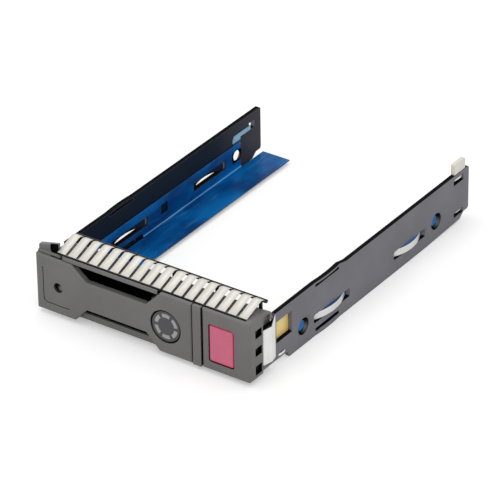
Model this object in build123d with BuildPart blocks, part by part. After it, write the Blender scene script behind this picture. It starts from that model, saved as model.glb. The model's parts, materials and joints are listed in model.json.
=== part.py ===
from build123d import *
import os

# Hot swap caddy for a 3.5-inch drive, without the drive.
# X runs right, Y runs back from the bezel, Z runs up, in millimetres.
# The origin is under the middle of the caddy, level with the rails' feet.
# A depth is measured back from the bezel's front face.

# Overall
overall_length = 166.8
bezel_width = 108.0
bezel_top = 30.0
bezel_bottom = 1.8

# Drive that the caddy carries
drive_width = 101.6
drive_side_gap = 0.1
drive_hole_rise = 6.35
drive_hole_spacing = 101.6
front_hole_depth = 40.0

# Sheet and plate
film_thickness = 0.15
liner_thickness = 0.35
rail_thickness = 2.0
spring_sheet = 0.2
flex_thickness = 0.2

# Clearances
slip = 0.3
pin_slip = 0.03

# Rails
rail_height = 24.4
rail_front = 10.3
left_rail_end = 160.5
rail_nose_bottom = 3.1
rail_nose_top = 22.0
rail_nose_end = 18.8
foot_start = 29.0
foot_end = 130.0
tail_rise = 3.4
tail_flat = 3.8
tail_ramp = 3.0
tail_kink = 1.02
tail_corner = 1.2
nose_bevel = 0.4
foot_ramp = 1.5
raised_front = 1.1
raised_end = 66.0
raised_ramp = 5.0
drive_hole_radius = 2.4
drive_hole_sink = 4.8
sink_angle = 112
slot_low = 6.1
slot_high = 10.1
slot_corner = 1.2
leaf_slots = ((46.8, 73.9), (107.3, 132.2))
edge_slot_depths = (48.0, 65.5)
edge_strip_low = 2.2
edge_strip_high = 1.0
edge_slot_low_height = 1.1
edge_slot_high_height = 0.8
edge_bow = 0.45
window_depths = (19.5, 31.0)
window_heights = (11.0, 21.0)
hook_depths = (20.6, 25.8)
hook_heights = (4.2, 5.5)
right_tail_slots = ((12.2, 4.2, 19.6, 22.4), (11.8, 4.3, 3.6, 5.8))
left_tail_slots = ((9.0, 5.0, 16.6, 20.0),)

# Liners with their leaf springs and film
flange_base = 1.55
flange_edge = 35.9
flange_front = 24.0
flange_end = 160.5
upright_top = 14.5
upright_front = 33.2
upright_end = 144.3
fold_radius = 0.8
fold_relief_end = 70.0
fold_relief_top = 3.5
fold_relief_edge = 50.4
leaf_margin = 0.4
leaf_root = 1.2
leaf_tip = 1.4
leaf_peak = 54.5
film_setback = 0.3
pocket_depths = (84.0, 89.0)
pocket_heights = (6.0, 11.0)
hole_opening_length = 8.2
hole_opening_height = 5.8
tab_front = 138.6
tab_low = 16.8
tab_high = 18.8
tab_hook = 1.5

# Screws
rail_screw_depth = 14.4
rail_screw_heights = (9.2, 18.5)
rail_screw_radius = 1.1
rail_screw_head = 2.2
rail_screw_length = 3.6
rail_screw_slip = 0.05
board_screw_radius = 0.9
board_screw_head = 1.8
board_screw_head_height = 1.0
board_screw_length = 4.0
board_screw_inset = 3.2
board_screw_bevel = 0.3
board_screw_slip = 0.2
screw_sides = 12

# Bezel housing
plate_thickness = 1.75
floor_thickness = 1.3
wall_depth = 2.0
housing_front = 3.6
housing_back = 15.6
rear_wall_thickness = 1.4
side_wall_end = 18.0
plate_end = 12.8
tongue_front = 1.0
tongue_left_inset = 12.0
tongue_corner = 2.4
tongue_clearance = 2.0
step_drop = 1.6
groove = 0.6
band_inset = 24.3
band_width = 4.0
band_depth = 6.0
front_wall_front = 5.2
front_wall_thickness = 1.4
front_wall_reach = 23.1
lip_margin = 1.7
lip_thickness = 1.2
lip_top = 4.6
pocket_width = 8.0
pocket_back = 8.8
ear_front = 3.0
ear_back = 5.1
ear_left_top = 31.0
ear_right_top = 33.4
recess_radius = 3.7
recess_depth = 0.8
recess_rise = 1.0
shoulder_step = 0.1
shoulder_lift = 0.2
shoulder_back = 17.5
shoulder_ramp = 2.0
shoulder_fall = 1.5
shoulder_pocket = (10.4, 15.0)
shoulder_pocket_top = 28.0
shoulder_pocket_width = 1.4
vent_width = 1.4
vent_low = 18.8
vent_high = 26.0
vent_pitch = 2.5
vent_margin = 1.4
vent_count = 17

# End cap
cap_depth = 9.2
cap_wall = 2.0
cap_inner_wall = 1.4
cap_notch_front = 3.9
cap_notch_back = 8.5
cap_notches = ((3.9, 8.3), (12.8, 16.7), (21.2, 25.1))
cap_edge = 1.2
cap_side_edge = 0.8

# Lever
lever_thickness = 3.0
lever_edge = 1.1
dimple_inset = 11.4
dimple_radius = 2.3
dimple_depth = 1.0
groove_depth = 0.4
groove_width = 0.5
groove_inset = 3.8
groove_rise = 4.4
groove_drop = 5.2
groove_end = 1.3
groove_bend = 2.0
rib_width = 1.2
rib_depth = 1.6
rib_start = 2.0
low_rib_rise = 3.5
high_rib_drop = 4.5
pad_top = 28.1
pad_width = 18.3
pad_slant = 7.3
pad_foot = 1.1
bar_top = 22.0
bar_bottom = 8.5
block_width = 15.5
block_slant = 7.7
block_foot = 0.9
ring_inset = 13.0
ring_z = 14.8
ring_hole_radius = 7.7
pivot_inset = 4.5
pivot_depth = 6.3
lug_radius = 2.1
pin_radius = 1.0
pin_foot = 0.4
housing_lugs = ((4.0, 7.0), (21.4, 24.4))
lever_lugs = ((7.4, 10.4), (18.0, 21.0))
catch_inset = 0.5
catch_width = 2.4
catch_back = 8.6
catch_low = 12.0
catch_high = 18.0
catch_slip = 0.1

# Release button
button_inset = 8.1
button_width = 12.1
button_low = 6.2
button_high = 23.6
button_front = 0.25
button_corner = 1.0
button_face = 1.5
button_bevel = 0.35
button_wall = 1.2
button_travel = 2.0
button_lip = 0.8
lip_depth = 2.1
lip_width = 1.1
post_radius = 1.4
post_end = 6.5
tongue_front_depth = 6.9
tongue_thickness = 1.2
tongue_height = 2.4

# Indicator ring and board
disc_radius = 6.9
disc_front = 0.4
disc_face = 1.6
disc_bore = 6.4
disc_flange = 9.2
segment_inner = 4.0
segment_outer = 5.9
segment_angle = 44
segment_count = 6
guide_inner = 3.7
guide_slip = 0.15
guide_sides = 12
guide_back = 10.0
guide_set = 0.1
guide_inset = 0.05
led_circle = 5.0
led_height = 0.9
led_width = 0.9
led_length = 1.7
led_offset = (4.3, 5.2)
board_reach = 21.1
board_margin = 0.8
board_low = 4.2
board_high = 26.6
board_front = 11.0
board_thickness = 1.2
seat_width = 6.0
boss_width = 4.6
seat_front = 10.6
flex_slot_inset = 1.0
flex_slot_width = 3.2
coil_radius = 2.2
coil_wire = 0.22
pin_coil_gap = 0.75
button_coil_turns = 3
lever_coil_turns = 2
connector_back = 13.8
connector_mouth = 0.4
connector_margin = 0.2
connector_sides = (0.6, 0.4)
connector_ends = 1.5
chip_size = 7.0
chip_inset = 6.0
chip_height = 1.1

# Top spring strip and side spring
strip_inset = 9.8
finger_width = 4.2
finger_gap = 1.15
finger_count = 18
strip_front = 2.2
strip_foot = 0.3
strip_crest = 33.9
strip_crest_depth = 13.2
strip_back = 15.7
strip_foot_bend = 0.6
strip_crest_bend = 1.5
strip_back_height = 32.8
finger_root = 0.35
finger_bridge = (11.6, 13.4)
strip_hem = 0.3
strip_groove = 0.6
side_spring_low = 5.4
side_spring_high = 22.0
side_spring_peak = 25.4
side_spring_bulge = 1.1
side_spring_hook = 0.3
side_spring_bend = 0.3
side_spring_ridge_depth = 14.8
side_spring_end = 18.4

# Flex cable and rear contact block
flex_low = 15.2
flex_high = 20.2
flex_end = 164.0
flex_turn = 18.4
flex_straight = 20.0
flex_bend = 1.0
flex_grip = 0.2
flex_window_back = 1.5
flex_window_margin = 0.5
flex_block_margin = 0.4
block_length = 8.4
block_height = 5.2
block_inset = 0.2
block_corner = 0.8
contact_count = 4
contact_pitch = 1.8
contact_width = 1.1
contact_length = 3.2
contact_rise = 2.4
contact_thickness = 0.1

film_face = drive_width / 2 + drive_side_gap
liner_face = film_face + film_thickness
rail_face = liner_face + liner_thickness
rail_outer = rail_face + rail_thickness
drive_floor = flange_base + liner_thickness + film_thickness
hole_height = drive_floor + drive_hole_rise
hole_depths = (front_hole_depth, front_hole_depth + drive_hole_spacing)
half_width = bezel_width / 2
front_wall_back = front_wall_front + front_wall_thickness
rear_wall_front = housing_back - rear_wall_thickness
plate_bottom = bezel_top - plate_thickness
floor_top = bezel_bottom + floor_thickness
band_right = half_width - band_inset
band_left = band_right - band_width
cap_left = band_right + groove
lever_right = band_left - groove
pad_right = -half_width + pad_width
bar_left = pad_right + pad_slant
block_left = lever_right - block_width
bar_right = block_left - block_slant
ring_x = lever_right - ring_inset
pivot_x = -half_width + pivot_inset
pocket_right = -half_width + pocket_width
tongue_left = -half_width + tongue_left_inset
strip_left = -half_width + strip_inset
strip_right = strip_left + finger_count * finger_width + (finger_count - 1) * finger_gap
catch_right = lever_right - catch_inset
catch_left = catch_right - catch_width
catch_middle = (catch_low + catch_high) / 2
button_right = half_width - button_inset
button_left = button_right - button_width
button_x = (button_left + button_right) / 2
button_z = (button_low + button_high) / 2
board_back = board_front + board_thickness
board_left = lever_right - board_reach
board_right = rail_face - wall_depth - board_margin
board_screws_at = (
    (board_left + board_screw_inset, board_high - board_screw_inset),
    (board_right - board_screw_inset, board_low + board_screw_inset),
)
flex_slot_right = board_right - flex_slot_inset
flex_slot_left = flex_slot_right - flex_slot_width
flex_start = (flex_slot_left + flex_slot_right) / 2
shoulder_face = rail_outer + shoulder_step
shoulder_low = rail_height + shoulder_lift


def y_at(depth):
    """Model Y of a depth behind the bezel's front face."""
    return depth - overall_length / 2


def front_plane(depth):
    """Upright plane that faces forward: local x runs right and local y runs up."""
    return Plane(origin=(0, y_at(depth), 0), x_dir=(1, 0, 0), z_dir=(0, -1, 0))


def side_plane(x):
    """Upright plane that faces right: local x runs back and local y runs up."""
    return Plane(origin=(x, 0, 0), x_dir=(0, 1, 0), z_dir=(1, 0, 0))


def front_point(x, depth, z):
    """Plane that faces forward at a point."""
    return Plane(origin=(x, y_at(depth), z), x_dir=(1, 0, 0), z_dir=(0, -1, 0))


def side_point(side, depth, height):
    """Plane on a rail's outer face, facing outward, at a depth and height."""
    return Plane(origin=(side * rail_outer, y_at(depth), height), z_dir=(side, 0, 0))


def corners(left, right, low, high, mode=Mode.ADD):
    """Rectangle between its four edges, in the sketch in hand."""
    with Locations(((left + right) / 2, (low + high) / 2)):
        return Rectangle(abs(right - left), abs(high - low), mode=mode)


def cutout(left, right, low, high, radius):
    """Opening with rounded corners, taken out of the sketch in hand."""
    with Locations(((left + right) / 2, (low + high) / 2)):
        return RectangleRounded(abs(right - left), abs(high - low), radius, mode=Mode.SUBTRACT)


def block(x, depth, z, mode=Mode.ADD):
    """Block between two places along each axis, in the part in hand."""
    with Locations((sum(x) / 2, y_at(sum(depth) / 2), sum(z) / 2)):
        return Box(abs(x[1] - x[0]), depth[1] - depth[0], z[1] - z[0], mode=mode)


def bowed_strip(side, inner, outer, rise, start, end, height):
    """Plan section of a strip that bows outward between two depths."""
    front = y_at(start)
    back = y_at(end)
    middle = (front + back) / 2
    with BuildSketch(Plane.XY.offset(height)) as section:
        with BuildLine():
            ThreePointArc((side * inner, front), (side * (inner + rise), middle), (side * inner, back))
            Line((side * inner, back), (side * outer, back))
            ThreePointArc((side * outer, back), (side * (outer + rise), middle), (side * outer, front))
            Line((side * outer, front), (side * inner, front))
        make_face()
    return section.sketch


def make_rail(side, end, tail_slots, windowed):
    """Side rail: a moulded plate with sunk screw holes, leaf slots and bowed edge strips."""
    top = rail_height + (raised_front if windowed else 0)
    step = [(raised_end + raised_ramp, rail_height), (raised_end, top)] if windowed else []
    profile = [
        (rail_front, rail_nose_bottom),
        (foot_start - foot_ramp, rail_nose_bottom),
        (foot_start, 0),
        (foot_end, 0),
        (end - tail_flat - tail_ramp, tail_kink),
        (end - tail_flat, tail_rise),
        (end, tail_rise),
        (end, rail_height),
        *step,
        (rail_nose_end, top),
        (rail_nose_end, rail_nose_top),
        (rail_front, rail_nose_top),
    ]
    with BuildPart() as rail:
        with BuildSketch(side_plane(side * rail_face)) as outline:
            with BuildLine():
                Polyline(*[(y_at(depth), height) for depth, height in profile], close=True)
            make_face()
            fillet(outline.vertices().group_by(Axis.X)[-1], radius=tail_corner)
            for start, stop in leaf_slots:
                cutout(y_at(start), y_at(stop), slot_low, slot_high, slot_corner)
            for start, stop, low, high in tail_slots:
                corners(y_at(end - start), y_at(end - stop), low, high, Mode.SUBTRACT)
            front, back = edge_slot_depths
            low = edge_strip_low
            high = top - edge_strip_high
            corners(y_at(front), y_at(back), low, low + edge_slot_low_height, Mode.SUBTRACT)
            corners(y_at(front), y_at(back), high - edge_slot_high_height, high, Mode.SUBTRACT)
            start, stop = hook_depths
            corners(y_at(start), y_at(stop), hook_heights[0], hook_heights[1], Mode.SUBTRACT)
            if windowed:
                start, stop = window_depths
                corners(y_at(start), y_at(stop), window_heights[0], window_heights[1], Mode.SUBTRACT)
        extrude(amount=side * rail_thickness)
        nose = rail.edges().filter_by(Axis.Z).group_by(Axis.Y)[0]
        chamfer(nose.sort_by(lambda edge: side * edge.center().X)[-1], length=nose_bevel)
        for low, high in ((0, edge_strip_low), (top - edge_strip_high, top)):
            face = (side * rail_face, side * rail_outer)
            block(face, edge_slot_depths, (low, high), mode=Mode.SUBTRACT)
            strip = bowed_strip(side, rail_face, rail_outer, edge_bow, front, back, low)
            extrude(strip, amount=high - low)
        with Locations(*[side_point(side, depth, hole_height) for depth in hole_depths]):
            CounterSinkHole(drive_hole_radius, drive_hole_sink, counter_sink_angle=sink_angle)
        with Locations(*[side_point(side, rail_screw_depth, height) for height in rail_screw_heights]):
            head = rail_screw_head + 2 * rail_screw_slip
            CounterSinkHole(rail_screw_radius + rail_screw_slip, head, counter_sink_angle=90)
    return rail.part


def angle_section(side, wall, base, thickness, radius):
    """Section of a folded angle: a flange that runs inward and an upright beside the rail."""
    centre = wall + thickness / 2
    floor = base + thickness / 2
    with BuildSketch(front_plane(flange_front)) as section:
        with BuildLine():
            FilletPolyline(
                (side * flange_edge, floor),
                (side * centre, floor),
                (side * centre, upright_top),
                radius=radius,
            )
        trace(line_width=thickness)
    return section.sketch


def cut_angle(side, margin):
    """Cut-outs that the liner and its film share, wider by a margin in the film."""
    beside = (side * (fold_relief_edge - margin), side * (rail_outer + 5))
    relief = (flange_front - 1, fold_relief_end + margin)
    block(beside, relief, (0, fold_relief_top + margin), mode=Mode.SUBTRACT)
    block(beside, (flange_front - 1, upright_front + margin), (0, rail_height), mode=Mode.SUBTRACT)
    block(beside, (upright_end - margin, flange_end + 1), (0, rail_height), mode=Mode.SUBTRACT)
    through = (side * film_face - 1, side * film_face + 1)
    for start, stop in leaf_slots:
        block(
            through,
            (start + leaf_root - margin, stop + margin),
            (slot_low - margin, slot_high + margin),
            mode=Mode.SUBTRACT,
        )
    block(through, pocket_depths, pocket_heights, mode=Mode.SUBTRACT)
    half = hole_opening_height / 2
    for depth in hole_depths:
        span = (depth - hole_opening_length / 2, depth + hole_opening_length / 2)
        block(through, span, (hole_height - half, hole_height + half), mode=Mode.SUBTRACT)


def make_liner(side, tabbed):
    """Spring steel angle with two leaf springs that press outward through the rail's slots."""
    with BuildPart() as liner:
        section = angle_section(side, liner_face, flange_base, liner_thickness, fold_radius)
        extrude(section, amount=flange_front - flange_end)
        cut_angle(side, 0)
        rise = leaf_peak - rail_face
        for start, stop in leaf_slots:
            root = start + leaf_root
            tip = stop - leaf_tip
            leaf = bowed_strip(side, liner_face, rail_face, rise, root, tip, slot_low + leaf_margin)
            extrude(leaf, amount=slot_high - slot_low - 2 * leaf_margin)
        if tabbed:
            hook = left_rail_end - left_tail_slots[0][0] + slip
            with BuildSketch(side_plane(side * liner_face)):
                with BuildLine():
                    Polyline(
                        (y_at(tab_front), upright_top),
                        (y_at(tab_front), tab_low),
                        (y_at(tab_front + 1), tab_high),
                        (y_at(hook + liner_thickness), tab_high),
                        (y_at(hook + liner_thickness), tab_low),
                        (y_at(upright_end), tab_low),
                        (y_at(upright_end), upright_top),
                        close=True,
                    )
                make_face()
            extrude(amount=side * liner_thickness)
            block(
                (side * liner_face, side * (rail_face + tab_hook)),
                (hook, hook + liner_thickness),
                (tab_low, tab_high),
            )
    return liner.part


def make_film(side):
    """Insulating film on the inner faces of a liner."""
    with BuildPart() as film:
        base = flange_base + liner_thickness
        section = angle_section(side, film_face, base, film_thickness, fold_radius + film_setback)
        extrude(section, amount=flange_front - flange_end)
        cut_angle(side, film_setback)
    return film.part


def faceted(radius, height):
    """Twelve-sided section of a small screw at a height."""
    with BuildSketch(Plane.XY.offset(height)) as section:
        RegularPolygon(radius, screw_sides)
    return section.sketch


def placed(piece, planes):
    """Copies of a piece, one on each plane, kept as separate solids."""
    with BuildPart() as group:
        with Locations(*planes):
            add(piece)
    return group.part


def make_rail_screws(side):
    """The two flat-head screws that fasten a rail to the housing's side wall."""
    neck = rail_screw_radius - rail_screw_head
    with BuildPart() as screw:
        loft([faceted(rail_screw_head, 0), faceted(rail_screw_radius, neck)], ruled=True)
        extrude(faceted(rail_screw_radius, neck), amount=-rail_screw_length - neck)
    return placed(screw.part, [side_point(side, rail_screw_depth, height) for height in rail_screw_heights])


def make_housing():
    """Moulded frame behind the lever: plates, walls, hinge lugs and the vented rear wall."""
    with BuildPart() as housing:
        with BuildSketch(front_plane(ear_front)):
            with BuildLine():
                Polyline(
                    (-half_width, plate_bottom),
                    (-half_width, ear_left_top),
                    (strip_left - slip, ear_right_top),
                    (strip_left - slip, plate_bottom),
                    close=True,
                )
            make_face()
        extrude(amount=ear_front - ear_back)
        with BuildSketch(front_plane(ear_front)):
            with Locations((strip_left - slip, bezel_top + recess_rise)):
                Circle(recess_radius)
        extrude(amount=-recess_depth, mode=Mode.SUBTRACT)
        with BuildSketch(Plane.XY.offset(plate_bottom)) as top:
            corners(tongue_left, block_left - tongue_clearance, y_at(tongue_front), y_at(housing_front))
            end = (tongue_left, y_at(tongue_front), 0)
            fillet(top.vertices().sort_by_distance(end)[0], radius=tongue_corner)
            corners(pocket_right, lever_right, y_at(housing_front), y_at(plate_end))
            corners(lever_right, shoulder_face, y_at(cap_depth), y_at(plate_end))
            corners(lever_right, band_left, y_at(housing_front), y_at(cap_depth))
            corners(band_left, band_right, y_at(0), y_at(cap_depth))
        extrude(amount=plate_thickness)
        with BuildSketch(Plane.XY.offset(plate_bottom - step_drop)):
            corners(pocket_right, rail_face, y_at(plate_end - 1), y_at(housing_back))
        extrude(amount=step_drop)
        with BuildSketch(Plane.XY.offset(bezel_bottom)) as bottom:
            corners(pocket_right, band_right, y_at(housing_front), y_at(housing_back))
            corners(-rail_face, pocket_right, y_at(pocket_back), y_at(housing_back))
            corners(band_right, rail_face, y_at(cap_depth), y_at(housing_back))
        extrude(amount=floor_thickness)
        with BuildSketch(front_plane(rear_wall_front)) as rear_wall:
            corners(-rail_face, pocket_right, bezel_bottom, rail_height)
            corners(pocket_right, rail_face, bezel_bottom, plate_bottom)
            for index in range(vent_count):
                left = pocket_right + vent_margin + index * vent_pitch
                corners(left, left + vent_width, vent_low, vent_high, Mode.SUBTRACT)
            corners(flex_slot_left, flex_slot_right, flex_low - slip, flex_high + slip, Mode.SUBTRACT)
        extrude(amount=-rear_wall_thickness)
        for side, wall_top in ((-1, rail_height), (1, plate_bottom)):
            with BuildSketch(side_plane(side * rail_face)):
                corners(y_at(cap_depth), y_at(housing_back), bezel_bottom, wall_top)
                corners(y_at(housing_back), y_at(side_wall_end), bezel_bottom, rail_height)
            extrude(amount=-side * wall_depth)
        with BuildSketch(front_plane(front_wall_front)):
            corners(lever_right - front_wall_reach, band_left, bezel_bottom, plate_bottom)
            with Locations((ring_x, ring_z)):
                Rectangle(2 * disc_bore + slip, 2 * disc_bore + slip, mode=Mode.SUBTRACT)
            corners(catch_left - 2 * slip, band_left - 2 * slip, catch_low - 2 * slip, catch_high + 2 * slip,
                    mode=Mode.SUBTRACT)
        extrude(amount=-front_wall_thickness)
        block((band_left, band_right), (0, band_depth), (bezel_bottom, plate_bottom))
        lip = (pad_right + lip_margin, block_left - block_foot)
        block(lip, (housing_front, housing_front + lip_thickness), (bezel_bottom, lip_top))
        seat = (strip_front - strip_groove, strip_front)
        block((tongue_left, strip_right), seat, (bezel_top - strip_groove, bezel_top), mode=Mode.SUBTRACT)
        with BuildSketch(side_plane(rail_face)):
            with BuildLine():
                Polyline(
                    (y_at(cap_depth), shoulder_low),
                    (y_at(cap_depth), bezel_top),
                    (y_at(plate_end), bezel_top),
                    (y_at(shoulder_back - shoulder_ramp), bezel_top - shoulder_fall),
                    (y_at(shoulder_back), shoulder_low),
                    close=True,
                )
            make_face()
        extrude(amount=shoulder_face - rail_face)
        pocket = (shoulder_face - shoulder_pocket_width, shoulder_face)
        block(pocket, shoulder_pocket, (shoulder_low, shoulder_pocket_top), mode=Mode.SUBTRACT)
        for low, high in housing_lugs:
            with BuildSketch(Plane.XY.offset(low)):
                with Locations((pivot_x, y_at(pivot_depth))):
                    Circle(lug_radius)
                corners(-rail_face, pivot_x + lug_radius, y_at(pivot_depth), y_at(rear_wall_front))
                with Locations((pivot_x, y_at(pivot_depth))):
                    Circle(pin_radius + pin_slip, mode=Mode.SUBTRACT)
            extrude(amount=high - low)
        with BuildSketch(front_plane(board_back)):
            with Locations(*board_screws_at):
                Rectangle(boss_width, boss_width)
        extrude(amount=board_back - rear_wall_front)
        with BuildSketch(front_plane(seat_front)):
            with Locations((button_x, button_z)):
                Rectangle(seat_width, seat_width)
        extrude(amount=seat_front - rear_wall_front)
        with Locations(*[front_point(x, board_front, z) for x, z in board_screws_at]):
            Hole(board_screw_radius + pin_slip, depth=board_screw_length)
        for side in (-1, 1):
            with Locations(*[side_point(side, rail_screw_depth, height) for height in rail_screw_heights]):
                Hole(rail_screw_radius + pin_slip, depth=rail_screw_length + 1)
    return housing.part


def make_end_cap():
    """Shell at the right end of the bezel: button window, side notches and rounded edges."""
    with BuildPart() as cap:
        block((cap_left, half_width), (0, cap_depth), (bezel_bottom, bezel_top))
        chamfer(cap.faces().sort_by(Axis.X)[-1].edges().filter_by(Axis.Y), length=cap_side_edge)
        fillet(cap.faces().sort_by(Axis.Y)[0].edges(), radius=cap_edge)
        block(
            (cap_left + cap_inner_wall, half_width - cap_wall),
            (cap_wall, cap_depth),
            (bezel_bottom + cap_inner_wall, bezel_top - cap_inner_wall),
            mode=Mode.SUBTRACT,
        )
        with BuildSketch(front_plane(0)):
            with Locations((button_x, button_z)):
                height = button_high - button_low + 2 * slip
                RectangleRounded(button_width + 2 * slip, height, button_corner + slip)
        extrude(amount=-cap_wall, mode=Mode.SUBTRACT)
        seat = (strip_front - strip_groove, strip_front)
        block((cap_left, strip_right), seat, (bezel_top - strip_groove, bezel_top), mode=Mode.SUBTRACT)
        for low, high in cap_notches:
            block(
                (half_width - cap_wall, half_width),
                (cap_notch_front, cap_notch_back),
                (low, high),
                mode=Mode.SUBTRACT,
            )
        reach = tongue_height / 2 + slip
        block(
            (cap_left, cap_left + cap_inner_wall),
            (tongue_front_depth - 2 * slip, cap_depth),
            (catch_middle - reach, catch_middle + reach),
            mode=Mode.SUBTRACT,
        )
    return cap.part


def make_lever():
    """Ejector lever: front plate with its pad and ring block, back ribs, hinge lugs and catch arm."""
    with BuildPart() as lever:
        with BuildSketch(front_plane(0)):
            with BuildLine():
                Polyline(
                    (-half_width, bezel_bottom),
                    (pad_right + pad_foot, bezel_bottom),
                    (bar_left, bar_bottom),
                    (bar_right, bar_bottom),
                    (block_left - block_foot, bezel_bottom),
                    (lever_right, bezel_bottom),
                    (lever_right, bezel_top),
                    (block_left, bezel_top),
                    (bar_right, bar_top),
                    (bar_left, bar_top),
                    (pad_right, pad_top),
                    (-half_width, pad_top),
                    close=True,
                )
            make_face()
        extrude(amount=-lever_thickness)
        fillet(lever.faces().sort_by(Axis.Y)[0].edges(), radius=lever_edge)
        rebate = (strip_front - strip_groove, lever_thickness)
        block((bar_right, lever_right), rebate, (bezel_top - strip_groove, bezel_top), mode=Mode.SUBTRACT)
        with BuildSketch(front_plane(0)):
            with Locations((ring_x, ring_z)):
                Circle(ring_hole_radius)
        extrude(amount=-lever_thickness, mode=Mode.SUBTRACT)
        with BuildSketch(front_plane(0)):
            with BuildLine():
                FilletPolyline(
                    (-half_width + groove_inset, pad_top - groove_drop),
                    (-half_width + groove_inset, bezel_bottom + groove_rise),
                    (pad_right - groove_end, bezel_bottom + groove_rise),
                    radius=groove_bend,
                )
            trace(line_width=groove_width)
        extrude(amount=-groove_depth, mode=Mode.SUBTRACT)
        with BuildSketch(front_plane(0)):
            with Locations((-half_width + dimple_inset, ring_z)):
                Circle(dimple_radius)
        extrude(amount=-dimple_depth, mode=Mode.SUBTRACT)
        with BuildSketch(front_plane(lever_thickness)):
            for height in (bar_bottom + low_rib_rise, bar_top - high_rib_drop):
                corners(pad_right + rib_start, bar_right, height, height + rib_width)
        extrude(amount=-rib_depth)
        for low, high in lever_lugs:
            with BuildSketch(Plane.XY.offset(low)):
                with Locations((pivot_x, y_at(pivot_depth))):
                    Circle(lug_radius)
                corners(pivot_x - lug_radius, pivot_x + lug_radius, y_at(lever_thickness), y_at(pivot_depth))
                with Locations((pivot_x, y_at(pivot_depth))):
                    Circle(pin_radius + 2 * pin_slip, mode=Mode.SUBTRACT)
            extrude(amount=high - low)
        block((catch_left, catch_right), (lever_thickness, catch_back), (catch_low, catch_high))
        reach = tongue_height / 2 + slip
        block(
            (catch_left, catch_right),
            (tongue_front_depth - catch_slip, tongue_front_depth + tongue_thickness + catch_slip),
            (catch_middle - reach, catch_middle + reach),
            mode=Mode.SUBTRACT,
        )
    return lever.part


def make_button():
    """Release button: hollow cap with a retaining lip, a spring post and the latch tongue."""
    with BuildPart() as button:
        block((button_left, button_right), (button_front, lip_depth + lip_width), (button_low, button_high))
        fillet(button.edges().filter_by(Axis.Y), radius=button_corner)
        chamfer(button.faces().sort_by(Axis.Y)[0].edges(), length=button_bevel)
        block(
            (button_left - button_lip, button_right + button_lip),
            (lip_depth, lip_depth + lip_width),
            (button_low - button_lip, button_high + button_lip),
        )
        block(
            (button_left + button_wall, button_right - button_wall),
            (button_face, lip_depth + lip_width),
            (button_low + button_wall, button_high - button_wall),
            mode=Mode.SUBTRACT,
        )
        with BuildSketch(front_plane(button_face)):
            with Locations((button_x, button_z)):
                Circle(post_radius)
        extrude(amount=button_face - post_end)
        tongue_back = tongue_front_depth + tongue_thickness
        reach = tongue_height / 2
        block(
            (button_left, button_left + button_wall),
            (lip_depth, tongue_back),
            (catch_middle - reach, catch_middle + reach),
        )
        block(
            (catch_right + slip, button_left + button_wall),
            (tongue_front_depth, tongue_back),
            (catch_middle - reach, catch_middle + reach),
        )
    return button.part


def arc_windows(depth, inner, outer):
    """Sketch at a depth of the arc windows, or segments, round the ring's centre."""
    middle = (inner + outer) / 2
    with BuildSketch(front_plane(depth)) as windows:
        with BuildLine():
            for index in range(segment_count):
                start = 90 + index * 360 / segment_count - segment_angle / 2
                CenterArc((ring_x, ring_z), middle, start, segment_angle)
        trace(line_width=outer - inner)
    return windows.sketch


def make_ring_disc():
    """Round cap in the lever's hole: face with six arc windows, skirt and square flange."""
    face_back = disc_front + disc_face
    with BuildPart() as disc:
        with BuildSketch(front_plane(disc_front)):
            with Locations((ring_x, ring_z)):
                Circle(disc_radius)
        extrude(amount=-disc_face)
        extrude(arc_windows(disc_front, segment_inner, segment_outer), amount=-disc_face, mode=Mode.SUBTRACT)
        with BuildSketch(front_plane(face_back)):
            with Locations((ring_x, ring_z)):
                Circle(disc_radius)
                Circle(disc_bore, mode=Mode.SUBTRACT)
        extrude(amount=face_back - front_wall_front)
        with BuildSketch(front_plane(housing_front)):
            with Locations((ring_x, ring_z)):
                Rectangle(2 * disc_flange, 2 * disc_flange)
                Circle(disc_bore, mode=Mode.SUBTRACT)
        extrude(amount=housing_front - front_wall_front)
    return disc.part


def make_light_guide():
    """Clear ring that carries the lamps' light to the six segments in the disc."""
    front = disc_front + guide_inset
    back = disc_front + disc_face
    with BuildPart() as guide:
        with BuildSketch(front_plane(back + guide_set)):
            with Locations((ring_x, ring_z)):
                RegularPolygon(disc_bore - guide_slip, guide_sides)
                RegularPolygon(guide_inner, guide_sides, mode=Mode.SUBTRACT)
        extrude(amount=back + guide_set - guide_back)
        segments = arc_windows(front, segment_inner + guide_set, segment_outer - guide_set)
        extrude(segments, amount=front - back - guide_set)
    return guide.part


def make_board():
    """Circuit board behind the ring and the button, with holes for its screws and the spring seat."""
    with BuildPart() as board:
        with BuildSketch(front_plane(board_front)):
            corners(board_left, board_right, board_low, board_high)
            with Locations(*board_screws_at):
                Circle(board_screw_radius + board_screw_slip, mode=Mode.SUBTRACT)
            with Locations((button_x, button_z)):
                Rectangle(seat_width + 2 * slip, seat_width + 2 * slip, mode=Mode.SUBTRACT)
        extrude(amount=-board_thickness)
    return board.part


def make_leds():
    """Lamps on the board's front: six behind the ring and one behind the button."""
    with BuildPart() as leds:
        with BuildSketch(front_plane(board_front)):
            with Locations((ring_x, ring_z)):
                with PolarLocations(led_circle, segment_count, start_angle=90):
                    Rectangle(led_width, led_length)
            with Locations((button_x + led_offset[0], button_z + led_offset[1])):
                Rectangle(led_length, led_width)
        extrude(amount=led_height)
    return leds.part


def make_board_screws():
    """Pan-head screws that hold the board to the housing's bosses."""
    with BuildPart() as screw:
        extrude(faceted(board_screw_head, 0), amount=board_screw_head_height)
        chamfer(screw.faces().sort_by(Axis.Z)[-1].edges(), length=board_screw_bevel)
        extrude(faceted(board_screw_radius, 0), amount=-board_screw_length)
    return placed(screw.part, [front_point(x, board_front, z) for x, z in board_screws_at])


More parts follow.
